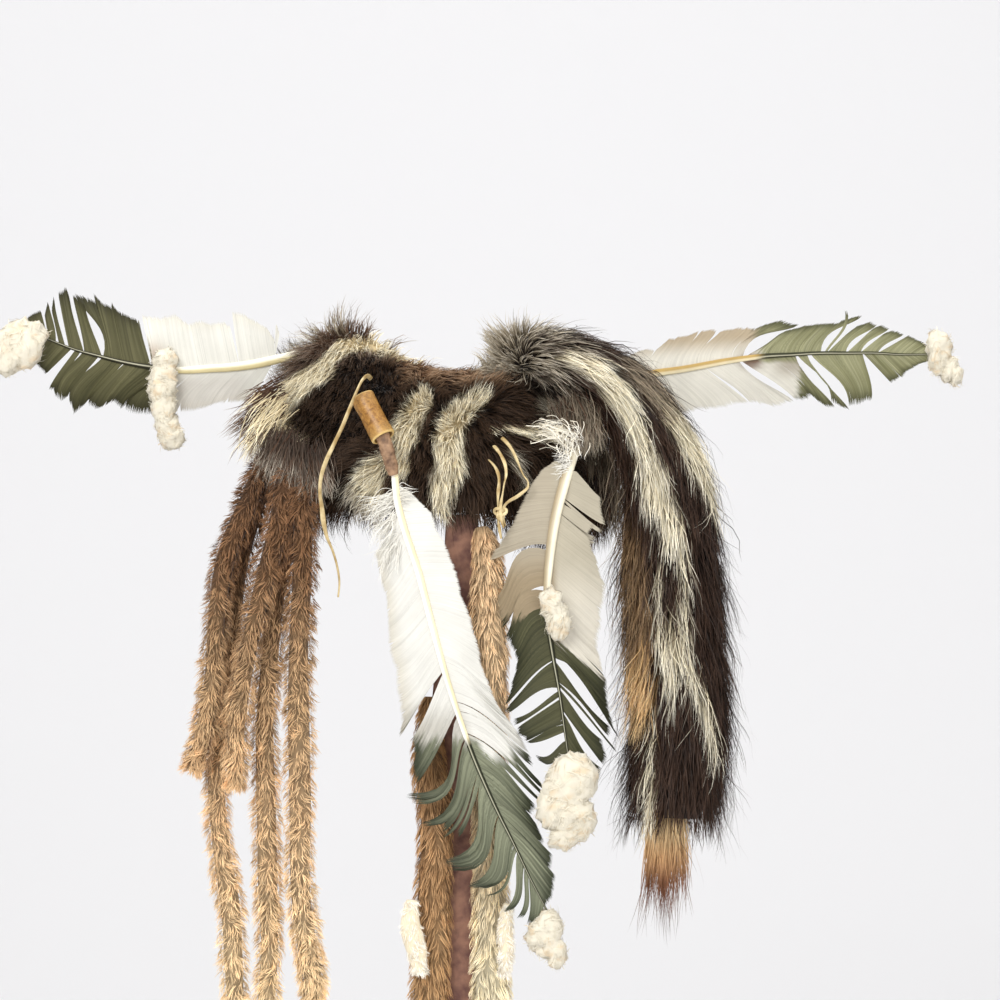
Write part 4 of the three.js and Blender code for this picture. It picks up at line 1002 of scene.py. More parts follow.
# ---------------------------------------------------------------- fur strips and the pelt drop
FUR_HEIGHTS = [30, -40, -120, -190, -300]
STRIP_TONES = dye_of("#775439", "#936c4a", "#d6b286", "#eeca9c", "#fde0b2")
DROP_TONES = {
    "drop_fur_left": dye_of("#9c7250", "#ae855c", "#b48c60", "#be956a", "#caa274"),
    "drop_fur_right": dye_of("#b68e66", "#e8c89e", "#f4d6ac", "#fde6bc", "#fff3d2"),
}


def graded(tones, z):
    """Reads a row of colours that belong to FUR_HEIGHTS, from the top down."""
    depths = [-height for height in FUR_HEIGHTS]
    return np.stack([np.interp(-z, depths, tones[:, c]) for c in range(3)], -1)


def coat(name, rows, count, groom, tone_of, finish_name, slot, seed):
    """Short hair round a limb, which lies down it and swirls in small patches."""
    rng = np.random.default_rng(seed)
    place = rng.uniform(0, 0.985, count)
    angle = rng.uniform(0, TURN, count)
    centre, along, wide, deep = route_frame(rows, place)
    aside, forth = np.cos(angle)[:, None], np.sin(angle)[:, None]
    out = unit(wide * aside + deep * forth)
    lump = 1 + groom["lump"] * wander(centre[:, :3] + 3 * out, 11, seed)[:, None]
    across = wide * centre[:, 3:4] * aside + deep * centre[:, 4:5] * forth
    roots = centre[:, :3] + groom["root"] * lump * across
    swirl = (groom["swirl"] * wander(roots, 12, seed + 1))[:, None]
    around = np.cross(out, along)
    lay = along * np.cos(swirl) + around * np.sin(swirl)
    size = groom["length"] * rng.uniform(0.55, 1.25, count)
    first = unit(lay * 0.6 + out * (groom["lift"] + 0.4))
    last = unit(lay + out * groom["lift"] * 0.5)
    paths = strands(roots, first, last, size, groom["steps"], rng, groom["wild"], groom["wave"])
    paths = gather(paths, count // groom["per_lock"], groom["pull"], rng)
    share = np.linspace(0, 1, groom["steps"] + 1)
    tone = tone_of(roots, rng) * (1 + groom["mottle"] * wander(roots, 9, seed + 2))[:, None]
    # Each hair is painted darker towards its root and lighter at its tip: partly the darker undercoat, partly
    # painted shade deep in the fur.
    dye = tone[:, None, :] * (groom["deep"] + (1.2 - groom["deep"]) * share[None, :, None] ** 0.8)
    dye = dye * rng.uniform(0.78, 1.22, count)[:, None, None]
    return ribbons(
        name, paths, unit(out + rng.normal(0, 0.4, out.shape)), groom["width"] * rng.uniform(0.7, 1.3, count),
        dye, finish(finish_name),
    )


def core_of(name, rows, share, colour_of, finish_name, sides=12, steps=80):
    """The skin of a furry limb, under its hair."""
    place = np.linspace(0, 1, steps)
    centre, _, wide, deep = route_frame(rows, place)
    return tube(
        name, centre[:, :3], wide, deep, centre[:, 3] * share, centre[:, 4] * share,
        finish(finish_name), dye=colour_of(centre[:, :3]), sides=sides,
    )


# In each groom, deep is how dark a hair's root is painted against its tip: partly the darker undercoat,
# partly painted shade deep in the fur.
STRIP_GROOM = dict(
    root=0.78, length=7.5, lift=0.42, width=0.5, steps=3, wild=0.34, wave=0.2, swirl=0.7, per_lock=14,
    pull=0.22, deep=0.72, lump=0.14, mottle=0.14,
)
DROP_GROOM = dict(
    root=0.76, length=9, lift=0.22, width=0.55, steps=3, wild=0.15, wave=0.08, swirl=0.3, per_lock=9,
    pull=0.55, deep=0.65, lump=0.05, mottle=0.12,
)
ERMINE_GROOM = dict(
    root=0.5, length=5, lift=0.4, width=0.45, steps=3, wild=0.3, wave=0.2, swirl=0.8, per_lock=14,
    pull=0.4, deep=0.95, lump=0.1, mottle=0.03,
)


def build_strips():
    """Twisted strips of short fur, brown at the top and tan at their ends."""
    for i, rows in enumerate(FUR_STRIPS):
        length = length_of(along_rows(rows, np.linspace(0, 1, 60)))
        # The skin takes the strip's tone darkened to about a third: painted shade deep in the fur, seen
        # between the hairs.
        core = core_of(
            f"strip_{i + 1}_skin", rows, 0.68, lambda p: graded(STRIP_TONES, p[:, 2]) * 0.35,
            "underfur",
        )
        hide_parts(f"fur_strip_{i + 1}")
        coat(
            f"strip_{i + 1}_hair", rows, int(length * 26), STRIP_GROOM,
            lambda p, r: graded(STRIP_TONES, p[:, 2] + r.normal(0, 12, len(p))),
            "strip_hair", "brown_fur", 31 + 3 * i,
        )


def build_drop():
    """The long strip of pelt: bare hide down its middle and sleek fur on each side."""
    for i, (name, rows) in enumerate(DROP_FURS.items()):
        length = length_of(along_rows(rows, np.linspace(0, 1, 60)))
        tones = DROP_TONES[name]
        # The skin takes the fur's tone darkened to under a half: painted shade deep in the fur, seen between
        # the hairs.
        core = core_of(
            f"{name}_skin", rows, 0.78, lambda p: graded(tones, p[:, 2]) * 0.45, "underfur",
        )
        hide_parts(name)
        coat(
            f"{name}_hair", rows, int(length * 30), DROP_GROOM, lambda p, r: graded(tones, p[:, 2]),
            "pelt_hair", "tan_fur", 51 + 3 * i,
        )
    place = np.linspace(0, 1, 60)
    centre, _, wide, deep = route_frame(DROP_HIDE, place)
    hide = tube(
        "drop_hide_strip", centre[:, :3], wide, deep, centre[:, 3], centre[:, 4],
        finish("hide"), sides=12,
    )
    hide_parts("drop_hide")


def build_ermine():
    """Two small bits of white fur near the end of the drop."""
    for i, (name, rows) in enumerate(ERMINE_BITS.items()):
        core = core_of(
            f"{name}_skin", rows, 0.7, lambda p: np.repeat(dye_of("#e9dcc0"), len(p), axis=0),
            "wool", steps=20,
        )
        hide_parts(name)
        coat(
            f"{name}_hair", rows, 1500, ERMINE_GROOM,
            lambda p, r: np.repeat(dye_of("#f4efe4"), len(p), axis=0), "wool", "white_fur", 61 + 3 * i,
        )


# ---------------------------------------------------------------- feathers
# Each vane is made of blades: barbs that cling together, with a gap before the next blade.
# A row is one barb: where it leaves the shaft (x for the side feathers, z for the hanging ones),
# its tip's x and z, and its bow (above 0 it hooks outwards, below 0 it leans into its tip).
LEFT_BLADES = [
    # above the shaft
    [(-104, -105, 112, 0), (-106, -107, 117.5, 0)],
    [(-106, -108, 107, 0.02), (-110, -113, 115, 0.02), (-116, -121, 119.5, 0), (-123, -129, 124.5, 0),
     (-130, -135.7, 125.8, 0)],
    [(-131, -137.5, 116.8, 0), (-137, -143, 119, 0), (-144, -150, 117.6, 0), (-150, -156.6, 120, 0),
     (-155, -162, 117.5, 0), (-161, -167.5, 119.5, 0), (-166, -172.5, 124, 0), (-176, -182.5, 121.5, 0),
     (-186.5, -193.5, 122.8, -0.02)],
    [(-188, -195.5, 119.8, 0.02), (-197, -204.9, 123.5, 0), (-204, -212, 128, 0), (-205, -213.2, 131.3, 0),
     (-206, -213.5, 128.6, 0), (-212, -219, 131, -0.02), (-215, -225.5, 137.8, -0.03),
     (-216, -224, 132.5, -0.06),
     (-218.3, -238, 137.4, -0.13)],
    [(-219.6, -231, 130, 0.03), (-225, -235, 133.5, 0), (-230, -239, 137, -0.02)],
    [(-231, -240.5, 134, 0.02), (-235, -243, 141.5, 0), (-240, -247.8, 137.5, 0)],
    [(-243, -250.4, 134, 0.03), (-246.5, -251.5, 126, 0)],
    [(-249, -254.3, 131, -0.04), (-253, -256, 123, 0)],
    [(-254, -259, 126, 0), (-259, -265, 123, 0), (-264, -271, 116, 0)],
    # below the shaft
    [(-104, -119, 74, 0), (-110, -128, 67, 0.02), (-118, -136.4, 66, 0.05), (-124, -141.5, 66.8, 0.05),
     (-132, -153.8, 62.4, 0.06), (-138, -161.7, 60.3, 0.08), (-147, -172, 59.4, 0.08),
     (-158, -181, 59.4, 0.08)],
    [(-159, -183, 59, 0.1), (-163, -192, 58.3, 0.12), (-166, -200.5, 59, 0.14), (-167, -205, 62, 0.14)],
    [(-168, -206, 63.5, 0.06), (-180, -207, 62.2, 0.08), (-190, -213, 66.8, 0.05), (-196, -218, 63.6, 0.05)],
    [(-197, -219.5, 63, 0.02), (-202, -224, 61.6, 0.03), (-204, -228.5, 65.5, 0.08)],
    [(-205.5, -230, 66.3, 0.0), (-209, -231, 64.5, 0.04), (-213, -237.7, 58.8, 0.1),
     (-218.5, -241, 66.5, 0.12)],
    [(-221.5, -242, 69.6, 0.04), (-226, -246, 66.4, 0.12), (-231, -249.2, 70.2, 0.16)],
    [(-233, -248.5, 74, 0.06), (-236, -253.6, 74.5, 0.02)],
    [(-239, -256, 84, 0), (-248, -261, 90, 0), (-260, -268, 100, 0)],
]
RIGHT_BLADES = [
    # above the shaft
    [(113, 121, 96.5, 0), (119, 127, 99.6, 0), (125, 133.5, 101.6, -0.02), (127.5, 138, 100.2, -0.03)],
    [(128.5, 139.5, 101, -0.06), (135, 147.7, 107.8, -0.08), (140, 152.5, 108.6, -0.08)],
    [(140.5, 153, 109, -0.08), (147, 159.5, 110, -0.08), (153, 166.5, 112.8, -0.08)],
    [(153.5, 168, 112.4, -0.1), (160, 175.2, 113.9, -0.1), (165, 178, 113, -0.12)],
    [(165.5, 180.5, 112.6, -0.14), (170, 184, 113.3, -0.12), (180, 194.7, 114.9, -0.12),
     (187, 203, 114.3, -0.12)],
    [(187.5, 204, 114.8, -0.1), (190, 212.8, 117.8, -0.12), (192, 220, 119.6, -0.12),
     (194, 231.5, 116.3, -0.17)],
    [(196, 210.5, 104, -0.02), (203, 217.8, 110, -0.05), (208, 223, 112.8, -0.06), (221, 235, 116.3, -0.08),
     (235, 249.4, 117.5, -0.08), (241, 257.5, 118.2, -0.06)],
    [(241.5, 258.5, 119, -0.08), (243, 266.8, 121.8, -0.14), (244.5, 272.3, 122.4, -0.15)],
    [(247.3, 260.6, 125.8, 0.12), (248.3, 261.6, 125.4, 0.12)],
    [(249, 262.5, 111, 0), (254, 268.5, 115.6, -0.05), (258, 277.3, 118.6, -0.1),
     (260.5, 281.5, 116.5, -0.12)],
    [(261.8, 279.5, 114.3, 0), (266, 284.5, 116.4, -0.08), (270, 289.5, 113.9, -0.1)],
    [(270.8, 287.5, 111.6, 0), (276, 292, 112.9, -0.06), (281, 298.5, 110.3, -0.08)],
    [(282.2, 298, 107.5, 0), (289, 301.5, 109.7, -0.04), (300, 311, 105, -0.04), (312, 319, 99, 0)],
    # below the shaft
    [(113, 133, 68, 0), (118, 142, 62, 0), (125, 151, 59.5, 0.02), (131, 157, 57.9, 0.04),
     (141, 166.5, 61.7, 0.04),
     (154, 180, 62.3, 0.05), (161, 190, 64.6, 0.05), (168, 199, 66.4, 0.0)],
    [(169.5, 200, 66, 0.04), (177, 206, 65.8, 0.05), (183, 216.4, 63, 0.03), (191, 228, 67, -0.06)],
    [(193, 229, 68.2, 0.03), (203, 235.5, 67.6, 0.04), (212, 239.5, 70.4, 0.04)],
    [(213, 238, 72, 0.05), (219, 243.6, 66.7, 0.05), (225, 249.4, 63, 0.02), (228, 255, 62.8, -0.06)],
    [(229.5, 252, 66.5, 0.12), (233, 260, 62.6, 0.02), (235.5, 264, 61.5, -0.05)],
    [(238.5, 263.6, 63.8, 0.11), (250, 267, 64.2, 0.1), (262, 273.5, 66.6, 0.07), (271, 277.8, 67.6, 0.05)],
    [(272.3, 290.7, 78.6, 0), (276, 292.6, 80.4, 0)],
    [(276.8, 292.8, 79.6, 0.02), (281, 296, 82.2, 0)],
    [(282, 296.6, 81.4, 0.02), (288, 300.8, 86, 0), (300, 309, 91, 0), (312, 318, 93.5, 0)],
]
LONG_BLADES = [
    # left of the shaft
    [(-6, -40, -31, 0.02), (-20, -36.5, -46, 0.02), (-36, -33, -60, 0.03), (-50, -32, -74, 0.04),
     (-62, -31.8, -86, 0.05), (-72, -30, -95, 0.05), (-79, -27.3, -102, 0.06), (-88, -26.6, -116, 0.06),
     (-93, -25, -124, 0.06), (-98, -23.5, -135, 0.04), (-102, -25.3, -145, -0.02)],
    [(-103, -17, -146, 0.03), (-111, -15.2, -158.5, 0.02), (-113, -16.5, -161.5, 0),
     (-127, -14.6, -173.4, 0.03)],
    [(-130.5, -19.4, -180, 0.26), (-138, -20.8, -180.8, 0.27), (-143, -14, -186, 0.22)],
    [(-145, -10.8, -197.4, 0.17), (-152, -11.2, -198.4, 0.2), (-156, -5, -199.5, 0.2)],
    [(-157, 1.6, -200, 0.1), (-160, 2.4, -203.3, 0.08)],
    [(-161, 3, -205, 0.08), (-164, 2.2, -207.4, 0.1)],
    [(-165, 11, -203, 0.05), (-168, 12, -206, 0.04)],
    [(-169.5, 4.4, -220.5, 0.2), (-180, 3.4, -221.8, 0.27), (-187, 7, -226.4, 0.28),
     (-191, 13, -226.5, 0.22)],
    [(-192.5, 18.6, -235.6, 0.16), (-200, 17.8, -237.2, 0.22), (-207, 25, -237.4, 0.24),
     (-210, 31, -235.6, 0.2)],
    [(-211, 29, -242.3, 0.18), (-213.5, 30.5, -242.6, 0.18)],
    [(-215, 40, -252.2, 0.12), (-220, 41.5, -252.8, 0.16), (-223, 45, -250.5, 0.12)],
    [(-224.5, 47.6, -257.2, 0.1), (-229, 51.5, -256, 0.1)],
    [(-230.5, 54.4, -259, 0.06), (-239, 58, -259, 0.02), (-247, 62.5, -258.6, 0)],
    # right of the shaft
    [(8, -25, 12.5, 0), (5, -20, 9.5, 0), (2, -14.5, 5, 0), (-1, -10, 0.5, -0.02), (-8, -4, -5, -0.02),
     (-16, -1, -15.6, -0.02), (-24, 4, -23.6, -0.02),
     (-34, 7.3, -33, -0.03), (-42, 10.6, -41, -0.03), (-48, 13, -49, -0.03), (-53, 14, -56, -0.04),
     (-60, 18.6, -66, -0.04), (-68, 21.6, -78, -0.04), (-75, 25, -89, -0.05), (-83, 26.8, -100, -0.05),
     (-92, 31.8, -113, -0.06), (-100, 37.4, -126, -0.06), (-108, 46, -137, -0.06), (-115, 53, -148, -0.07),
     (-121, 56, -154.5, -0.07)],
    [(-122, 56.5, -156, -0.06), (-127, 59.4, -164, -0.08)],
    [(-128, 64.5, -174, -0.09), (-133, 67.3, -179.6, -0.08), (-134, 66.4, -178.2, -0.06)],
    [(-135, 67, -181, -0.07), (-140, 68.2, -184.3, -0.06)],
    [(-142, 63.8, -184, -0.06), (-146, 64.6, -186.4, -0.04)],
    [(-147, 60.6, -187.4, -0.06), (-153, 60, -190, -0.04), (-157, 57.6, -193, 0)],
    [(-160, 57, -193.4, -0.09), (-164, 60.5, -198.6, -0.04), (-169, 64.2, -205, -0.02),
     (-174, 65.4, -210, 0.02),
     (-177, 63.5, -214.6, 0.04), (-180, 60, -215.6, 0.04)],
    [(-182, 64.5, -217, -0.06), (-185, 71, -217.8, -0.06), (-190, 70.6, -224, -0.02),
     (-196, 66.2, -230.6, 0)],
    [(-197.5, 68.5, -230.8, -0.06), (-199, 72.6, -230.4, -0.06), (-204.5, 71, -236.9, 0)],
    [(-206.5, 71.7, -238.5, -0.04), (-213, 70.3, -244, 0), (-224, 65.5, -249.4, 0)],
    [(-226, 66, -251, 0), (-249, 68.5, -257, 0)],
]
SHORT_BLADES = [
    # left of the shaft
    [(24, 71.5, 27.5, -0.02), (19, 63.1, 21.5, -0.02), (12, 56.7, 12.6, -0.03), (5, 52.8, 4.8, -0.03),
     (-3, 47.7, -6, -0.04), (-9, 44.5, -12.5, -0.05), (-15, 39.2, -20.5, -0.06), (-20, 35.5, -26.6, -0.06),
     (-25, 29.8, -34.6, -0.08)],
    [(-29, 35.2, -58, -0.26), (-38, 36.6, -68.5, -0.22), (-46, 39.3, -76.6, -0.18), (-50, 41.4, -72, -0.14)],
    [(-54, 40.8, -82.5, -0.26), (-61, 42.4, -85, -0.2), (-69, 47, -92, -0.14), (-76, 48.2, -98.5, -0.1),
     (-81, 47.6, -103.5, -0.08), (-86, 45, -111, -0.07), (-91, 43.6, -118, -0.06),
     (-96, 40.3, -125.8, -0.05)],
    [(-97.5, 44, -124, -0.04), (-106, 41, -128, -0.05), (-113, 41.8, -130, -0.1)],
    [(-115.5, 46, -133.2, 0.06), (-118.5, 46.4, -137.4, 0.02)],
    [(-121, 48.2, -139.2, 0), (-127, 49, -142.6, 0), (-132.5, 53.2, -145.6, 0)],
    [(-134, 52.5, -146.2, -0.03), (-135.5, 53.6, -146.8, -0.03)],
    [(-137, 54.2, -147.3, -0.04), (-140.5, 56, -147.9, 0.04)],
    [(-146.5, 59.4, -154.8, 0.2), (-150, 61, -158.2, 0.16), (-154, 65.4, -160.8, 0.1)],
    [(-156, 67.4, -164.6, 0.06), (-160, 71, -169, 0), (-164, 76, -173, 0)],
    # right of the shaft
    [(22, 86, 20.5, 0), (18, 96, 9, -0.01), (13, 101, 4.2, -0.02), (10, 101.8, -4.2, 0),
     (6, 103.4, -12, 0.02)],
    [(5.3, 101.6, -16, 0.02), (4.5, 100.6, -17.5, 0.03)],
    [(3.8, 98.6, -21, 0.1), (3.2, 96.5, -24.4, 0.14)],
    [(2, 96.6, -12.5, 0), (-3, 93.2, -18.6, 0)],
    [(-4, 93.6, -21, 0), (-10, 96, -29.5, 0), (-14, 98.5, -34, 0), (-17, 99.2, -38.4, 0),
     (-22, 101.8, -46, 0),
     (-25, 104, -50.3, 0), (-30, 103.5, -57, 0), (-35, 102.2, -64, 0), (-40, 101, -71, 0),
     (-44, 101.4, -76, 0),
     (-49, 99.2, -83, 0.02), (-57, 99, -90, 0.02), (-64, 101.6, -99, 0), (-68.5, 102.6, -105, 0)],
    [(-69, 103, -106.5, 0), (-75, 105.2, -112, 0), (-81, 104.8, -118, 0), (-86, 106.4, -129, -0.03),
     (-91, 108.8, -139, -0.05), (-94.5, 113.4, -147.3, -0.1)],
    [(-97, 106.5, -138, 0.04), (-104, 107.4, -142.4, 0), (-109, 106.2, -145, -0.04)],
    [(-110.5, 110.6, -153.4, -0.02), (-111.5, 110.2, -153.8, -0.02)],
    [(-115, 102, -146.5, 0.05), (-120, 102.2, -149.5, 0.05), (-124, 104.8, -157.4, 0.04),
     (-126.5, 102.4, -162.6, 0)],
    [(-129, 101.3, -164, 0.08), (-134, 100.2, -170.5, 0.04), (-142, 95.5, -169, 0), (-150, 91, -172, 0),
     (-162, 84.5, -176, 0)],
]
BARB_SPACING = 0.5

# Half width of each shaft from the quill to the tip, where it is that wide, and its two colours.
SHAFTS = {
    "side_feather_left": ([2.6, 3.0, 2.5, 1.5, 0.9, 0.4], "#ddcf9f", "#fbf7e6"),
    "side_feather_right": ([2.4, 2.6, 2.1, 1.3, 0.9, 0.4], "#b2955a", "#e9dcb8"),
    "hanging_feather_long": ([1.8, 2.3, 2.2, 1.8, 1.2, 0.4], "#efe2ba", "#fdfaf0"),
    "hanging_feather_short": ([2.9, 3.5, 3.0, 1.9, 1.0, 0.4], "#f2ead2", "#ab9c80"),
}
GREENS = {
    # pale, middle and dark of each feather's dip
    "side_feather_left": dye_of("#5f5c40", "#46442b", "#252314"),
    "side_feather_right": dye_of("#959473", "#727150", "#313220"),
    "hanging_feather_long": dye_of("#83866f", "#525645", "#262a1b"),
    "hanging_feather_short": dye_of("#4f4e36", "#383926", "#232417"),
}


def paint_left(x, z, reach, noise):
    """White, and green beyond a sharp slanting line, with a rusty stain beside it."""
    line = -184 - 0.36 * np.maximum(z - 87, 0) + 0.08 * np.maximum(87 - z, 0)
    green = smooth(line + 1, line - 1, x + 0.6 * noise)
    pale = blend(dye_of("#f6f4ea")[0], dye_of("#ede7d6")[0], 0.5 * smooth(0.7, 1, reach))
    below = smooth(86, 78, z) * (1 - smooth(-135, -120, x))
    pale = blend(pale, dye_of("#ddd5cc")[0], 0.45 * below)
    stain = np.exp(-((x + 186) / 7) ** 2 - ((z - 97) / 8) ** 2)
    return blend(pale, dye_of("#b8967a")[0], 0.55 * stain), green


def paint_right(x, z, reach, noise):
    """White below and beige above, rusty by the shaft where the green begins."""
    above = z > 82 + 0.08 * (x - 130) + 3
    line = np.where(above, 206 - 0.2 * (z - 94), 231 + 0.15 * (z - 78))
    green = smooth(line - np.where(above, 4, 1.5), line + np.where(above, 4, 1.5), x + noise)
    beige = smooth(93, 108, z - 0.06 * (x - 160)) * 0.9
    pale = blend(dye_of("#f6f2e5")[0], dye_of("#bda98a")[0], beige)
    grey = smooth(208, 224, x) * smooth(78, 90, z) * (1 - above)
    pale = blend(pale, dye_of("#b3a896")[0], 0.8 * grey)
    rust = np.exp(-((x - 200) / 6.5) ** 2 - ((z - 93) / 4.5) ** 2)
    return blend(pale, dye_of("#6d4a30")[0], 0.9 * np.clip(1.6 * rust, 0, 1)), green


def paint_long(x, z, reach, noise):
    """White, grey and then green below a line that dips to the right."""
    shaft = (-z - 20) * 0.42 - 32
    right = x > shaft
    line = np.where(right, -158 + 14 * np.exp(-((x - shaft) / 4) ** 2), -146)
    line = np.where(right & (x > 45), -153, line)
    green = smooth(line + 3, line - 3, z + 2 * noise)
    pale = blend(dye_of("#faf8f0")[0], dye_of("#e5ddca")[0], 0.8 * smooth(0.6, 1.05, reach) * (1 - right))
    grey = smooth(-118, -140, z) * (1 - right) * 0.6
    return blend(pale, dye_of("#b9b3a4")[0], grey), green


def paint_short(x, z, reach, noise):
    """Beige to the left, cream to the right and nearly black green below."""
    left = x < 70
    line = np.where(left, -64 - 0.4 * (66 - x), -87 - 0.72 * (x - 76))
    green = smooth(line + 1.5, line - 1.5, z + 2 * noise)
    tan = smooth(-20, -50, z)
    pale = blend(dye_of("#bfb49f")[0], dye_of("#a9977a")[0], tan)
    cream = blend(dye_of("#c9c0ab")[0], dye_of("#efe8d8")[0], smooth(-25, -75, z))
    return blend(pale, cream, smooth(69, 75, x)), green


PAINTS = {
    "side_feather_left": paint_left,
    "side_feather_right": paint_right,
    "hanging_feather_long": paint_long,
    "hanging_feather_short": paint_short,
}
FEATHERS = {
    "side_feather_left": (SIDE_FEATHER_LEFT, 0, LEFT_BLADES, 61),
    "side_feather_right": (SIDE_FEATHER_RIGHT, 0, RIGHT_BLADES, 62),
    "hanging_feather_long": (HANGING_FEATHER_LONG, 2, LONG_BLADES, 63),
    "hanging_feather_short": (HANGING_FEATHER_SHORT, 2, SHORT_BLADES, 64),
}


def blade_paths(rows, axis, blade, rng):
    """Paths of the barbs of one blade, and how far each point is from the shaft (0 to 1)."""
    places = np.linspace(0, 1, 400)
    line = along_rows(rows, places)[:, :3]
    charted = np.array(blade, float)
    order = 1 if line[-1, axis] > line[0, axis] else -1
    root = np.interp(order * charted[:, 0], order * line[:, axis], places)
    total = length_of(line)
    apart = np.maximum(np.abs(np.diff(root)) * total, np.hypot(*np.diff(charted[:, 1:3], axis=0).T))
    reached = np.concatenate([[0], np.cumsum(apart)])
    count = int(reached[-1] / BARB_SPACING) + 2
    where = np.linspace(0, reached[-1], count)
    root, tip_x, tip_z, bow = [np.interp(where, reached, column) for column in (root, *charted.T[1:])]
    centre, along, _, _ = route_frame(rows, root)
    centre = centre[:, :3]
    chord_x, chord_z = tip_x - centre[:, 0], tip_z - centre[:, 2]
    length = np.hypot(chord_x, chord_z)
    sunk = 0.0035 * length ** 2 + rng.normal(0, 0.5)
    ragged = np.repeat(rng.normal(0, 1, count // 5 + 1), 5)[:count]
    longer = 1 + 0.008 * ragged + rng.normal(0, 0.008, count)
    chord = np.stack([chord_x * longer, sunk, chord_z * longer], -1)
    tipward = unit(np.stack([-chord_z, np.zeros(count), chord_x], -1))
    tipward *= np.sign((tipward * along).sum(-1, keepdims=True))
    share = np.linspace(0, 1, 11)
    s = share[None, :, None]
    bulge = np.where(bow[:, None, None] > 0, 6.75 * s ** 2 * (1 - s), 6.75 * s * (1 - s) ** 2)
    paths = centre[:, None] + chord[:, None] * s + tipward[:, None] * (bow * length)[:, None, None] * bulge
    paths[..., 1] += sunk[:, None] * (share ** 2 - share)[None]
    clump = np.cumsum(rng.uniform(size=count) < 0.09)
    middles = np.array([int(np.median(np.where(clump == c)[0])) for c in clump])
    pull = 0.16 * rng.uniform(0, 1, clump.max() + 1)[clump][:, None, None] * s ** 3
    return paths * (1 - pull) + paths[middles] * pull, share


def build_vane(name):
    """The barbs on both sides of a shaft, in blades, with their dyed ends."""
    rows, axis, blades, seed = FEATHERS[name]
    rng = np.random.default_rng(seed)
    all_paths, all_facing, all_dye, all_width = [], [], [], []
    for blade in blades:
        paths, share = blade_paths(rows, axis, blade, rng)
        count = len(paths)
        gap = np.linalg.norm(np.gradient(paths, axis=0), axis=-1)
        noise = np.repeat(rng.normal(0, 0.8, count // 4 + 1), 4)[:count]
        noise = (noise + rng.normal(0, 0.6, count))[:, None]
        pale, green = PAINTS[name](paths[..., 0], paths[..., 2], share[None], noise)
        greens = GREENS[name]
        dip = blend(greens[0], greens[1], np.clip(0.15 + share[None] * 0.8 + 0.25 * noise, 0, 1))
        dip = blend(dip, greens[2], smooth(0.7, 1, share)[None] * 0.75)
        dip = dip * rng.uniform(0.78, 1.14, (count, 1, 1))
        pale = pale * (0.73 - 0.1 * smooth(0.93, 1, share))[None, :, None]
        streak = rng.uniform(0.94, 1.05, count) * (1 - 0.1 * (rng.uniform(size=count) < 0.06))
        flat = unit(np.cross(np.gradient(paths, axis=1), np.gradient(paths, axis=0)))
        flat *= np.where(flat[..., 1:2] > 0, -1, 1)
        all_paths.append(paths)
        all_facing.append(unit(flat + rng.normal(0, 0.06, (count, 1, 3))))
        all_dye.append(blend(pale, dip, green) * streak[:, None, None])
        all_width.append(np.clip(gap * 2.0, 0.4, 2.6))
    vane = ribbons(
        f"{name}_vane", np.concatenate(all_paths), np.concatenate(all_facing), np.concatenate(all_width),
        np.concatenate(all_dye), finish("vane"), blunt=0.6,
    )
    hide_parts(name)


def build_shaft(name):
    """The horn shaft from the hidden quill to the tip, with a lighter and a darker side."""
    rows = FEATHERS[name][0]
    half, one, other = SHAFTS[name]
    line = np.vstack([np.array(QUILLS[name], float)[:2], np.asarray(rows, float)[1:, :3]])
    place = np.linspace(0, 1, 110)
    centre, _, wide, deep = route_frame(line, place)
    size = np.interp(place, [0, 0.12, 0.35, 0.55, 0.75, 1], half)
    _, green = PAINTS[name](centre[:, 0], centre[:, 2], np.zeros(1), np.zeros(1))
    sides = 14
    angle = np.arange(sides) / sides * TURN
    edge = smooth(-0.35, 0.35, np.cos(angle) + 0.1)[None]
    pale = blend(dye_of(other)[0], dye_of(one)[0], edge)
    pale = pale * (1 + 0.05 * wander(centre, 30, 4))[:, None, None]
    ridge = blend(GREENS[name][2], dye_of("#ddd9bd")[0], smooth(0.2, 0.0, np.abs(np.cos(angle) + 0.3))[None])
    dye = blend(pale, np.repeat(ridge, len(place), axis=0), np.repeat(green[:, None], sides, axis=1))
    tube(f"{name}_shaft", centre - deep * 0.6, wide, deep, size, size * 0.62, finish("shaft"),
         dye=dye, sides=sides)


# Downy barbs by the quills: root, the fan of headings in degrees and the barbs' length.
DOWN = {
    "hanging_feather_long": [((-29, -137, 2), (165, 215), 24), ((-27, -137.5, -8), (195, 240), 28),
                             ((-24, -138, -20), (220, 255), 30), ((-26, -137.6, 3), (20, 75), 13)],
    "hanging_feather_short": [((81, -125, 24), (120, 215), 12)],
}


def build_down(name):
    """Loose downy barbs at the foot of a hanging feather."""
    rng = np.random.default_rng(65)
    for number, (root, fan, size) in enumerate(DOWN[name]):
        count = 75
        heading = np.radians(rng.uniform(*fan, count))
        first = np.stack([np.cos(heading), rng.normal(-0.15, 0.15, count), np.sin(heading)], -1)
        last = unit(first + np.array([0.1, 0.05, -1.1]))
        roots = np.array(root) + rng.normal(0, 1, (count, 3)) * np.array([1.2, 0.6, 3.5])
        paths = strands(roots, unit(first), last, size * rng.uniform(0.4, 1.1, count), 8, rng, 0.35, 0.5)
        paths = gather(paths, 24, 0.5, rng)
        dye = np.repeat(dye_of("#e8e5dc"), count, axis=0)[:, None] * rng.uniform(0.9, 1.05, (count, 1, 1))
        ribbons(
            f"{name}_down_{number + 1}", paths, np.array([0, -1, 0]) + rng.normal(0, 0.4, (count, 3)),
            np.full(count, 0.5), np.repeat(dye, 9, axis=1), finish("vane"),
        )


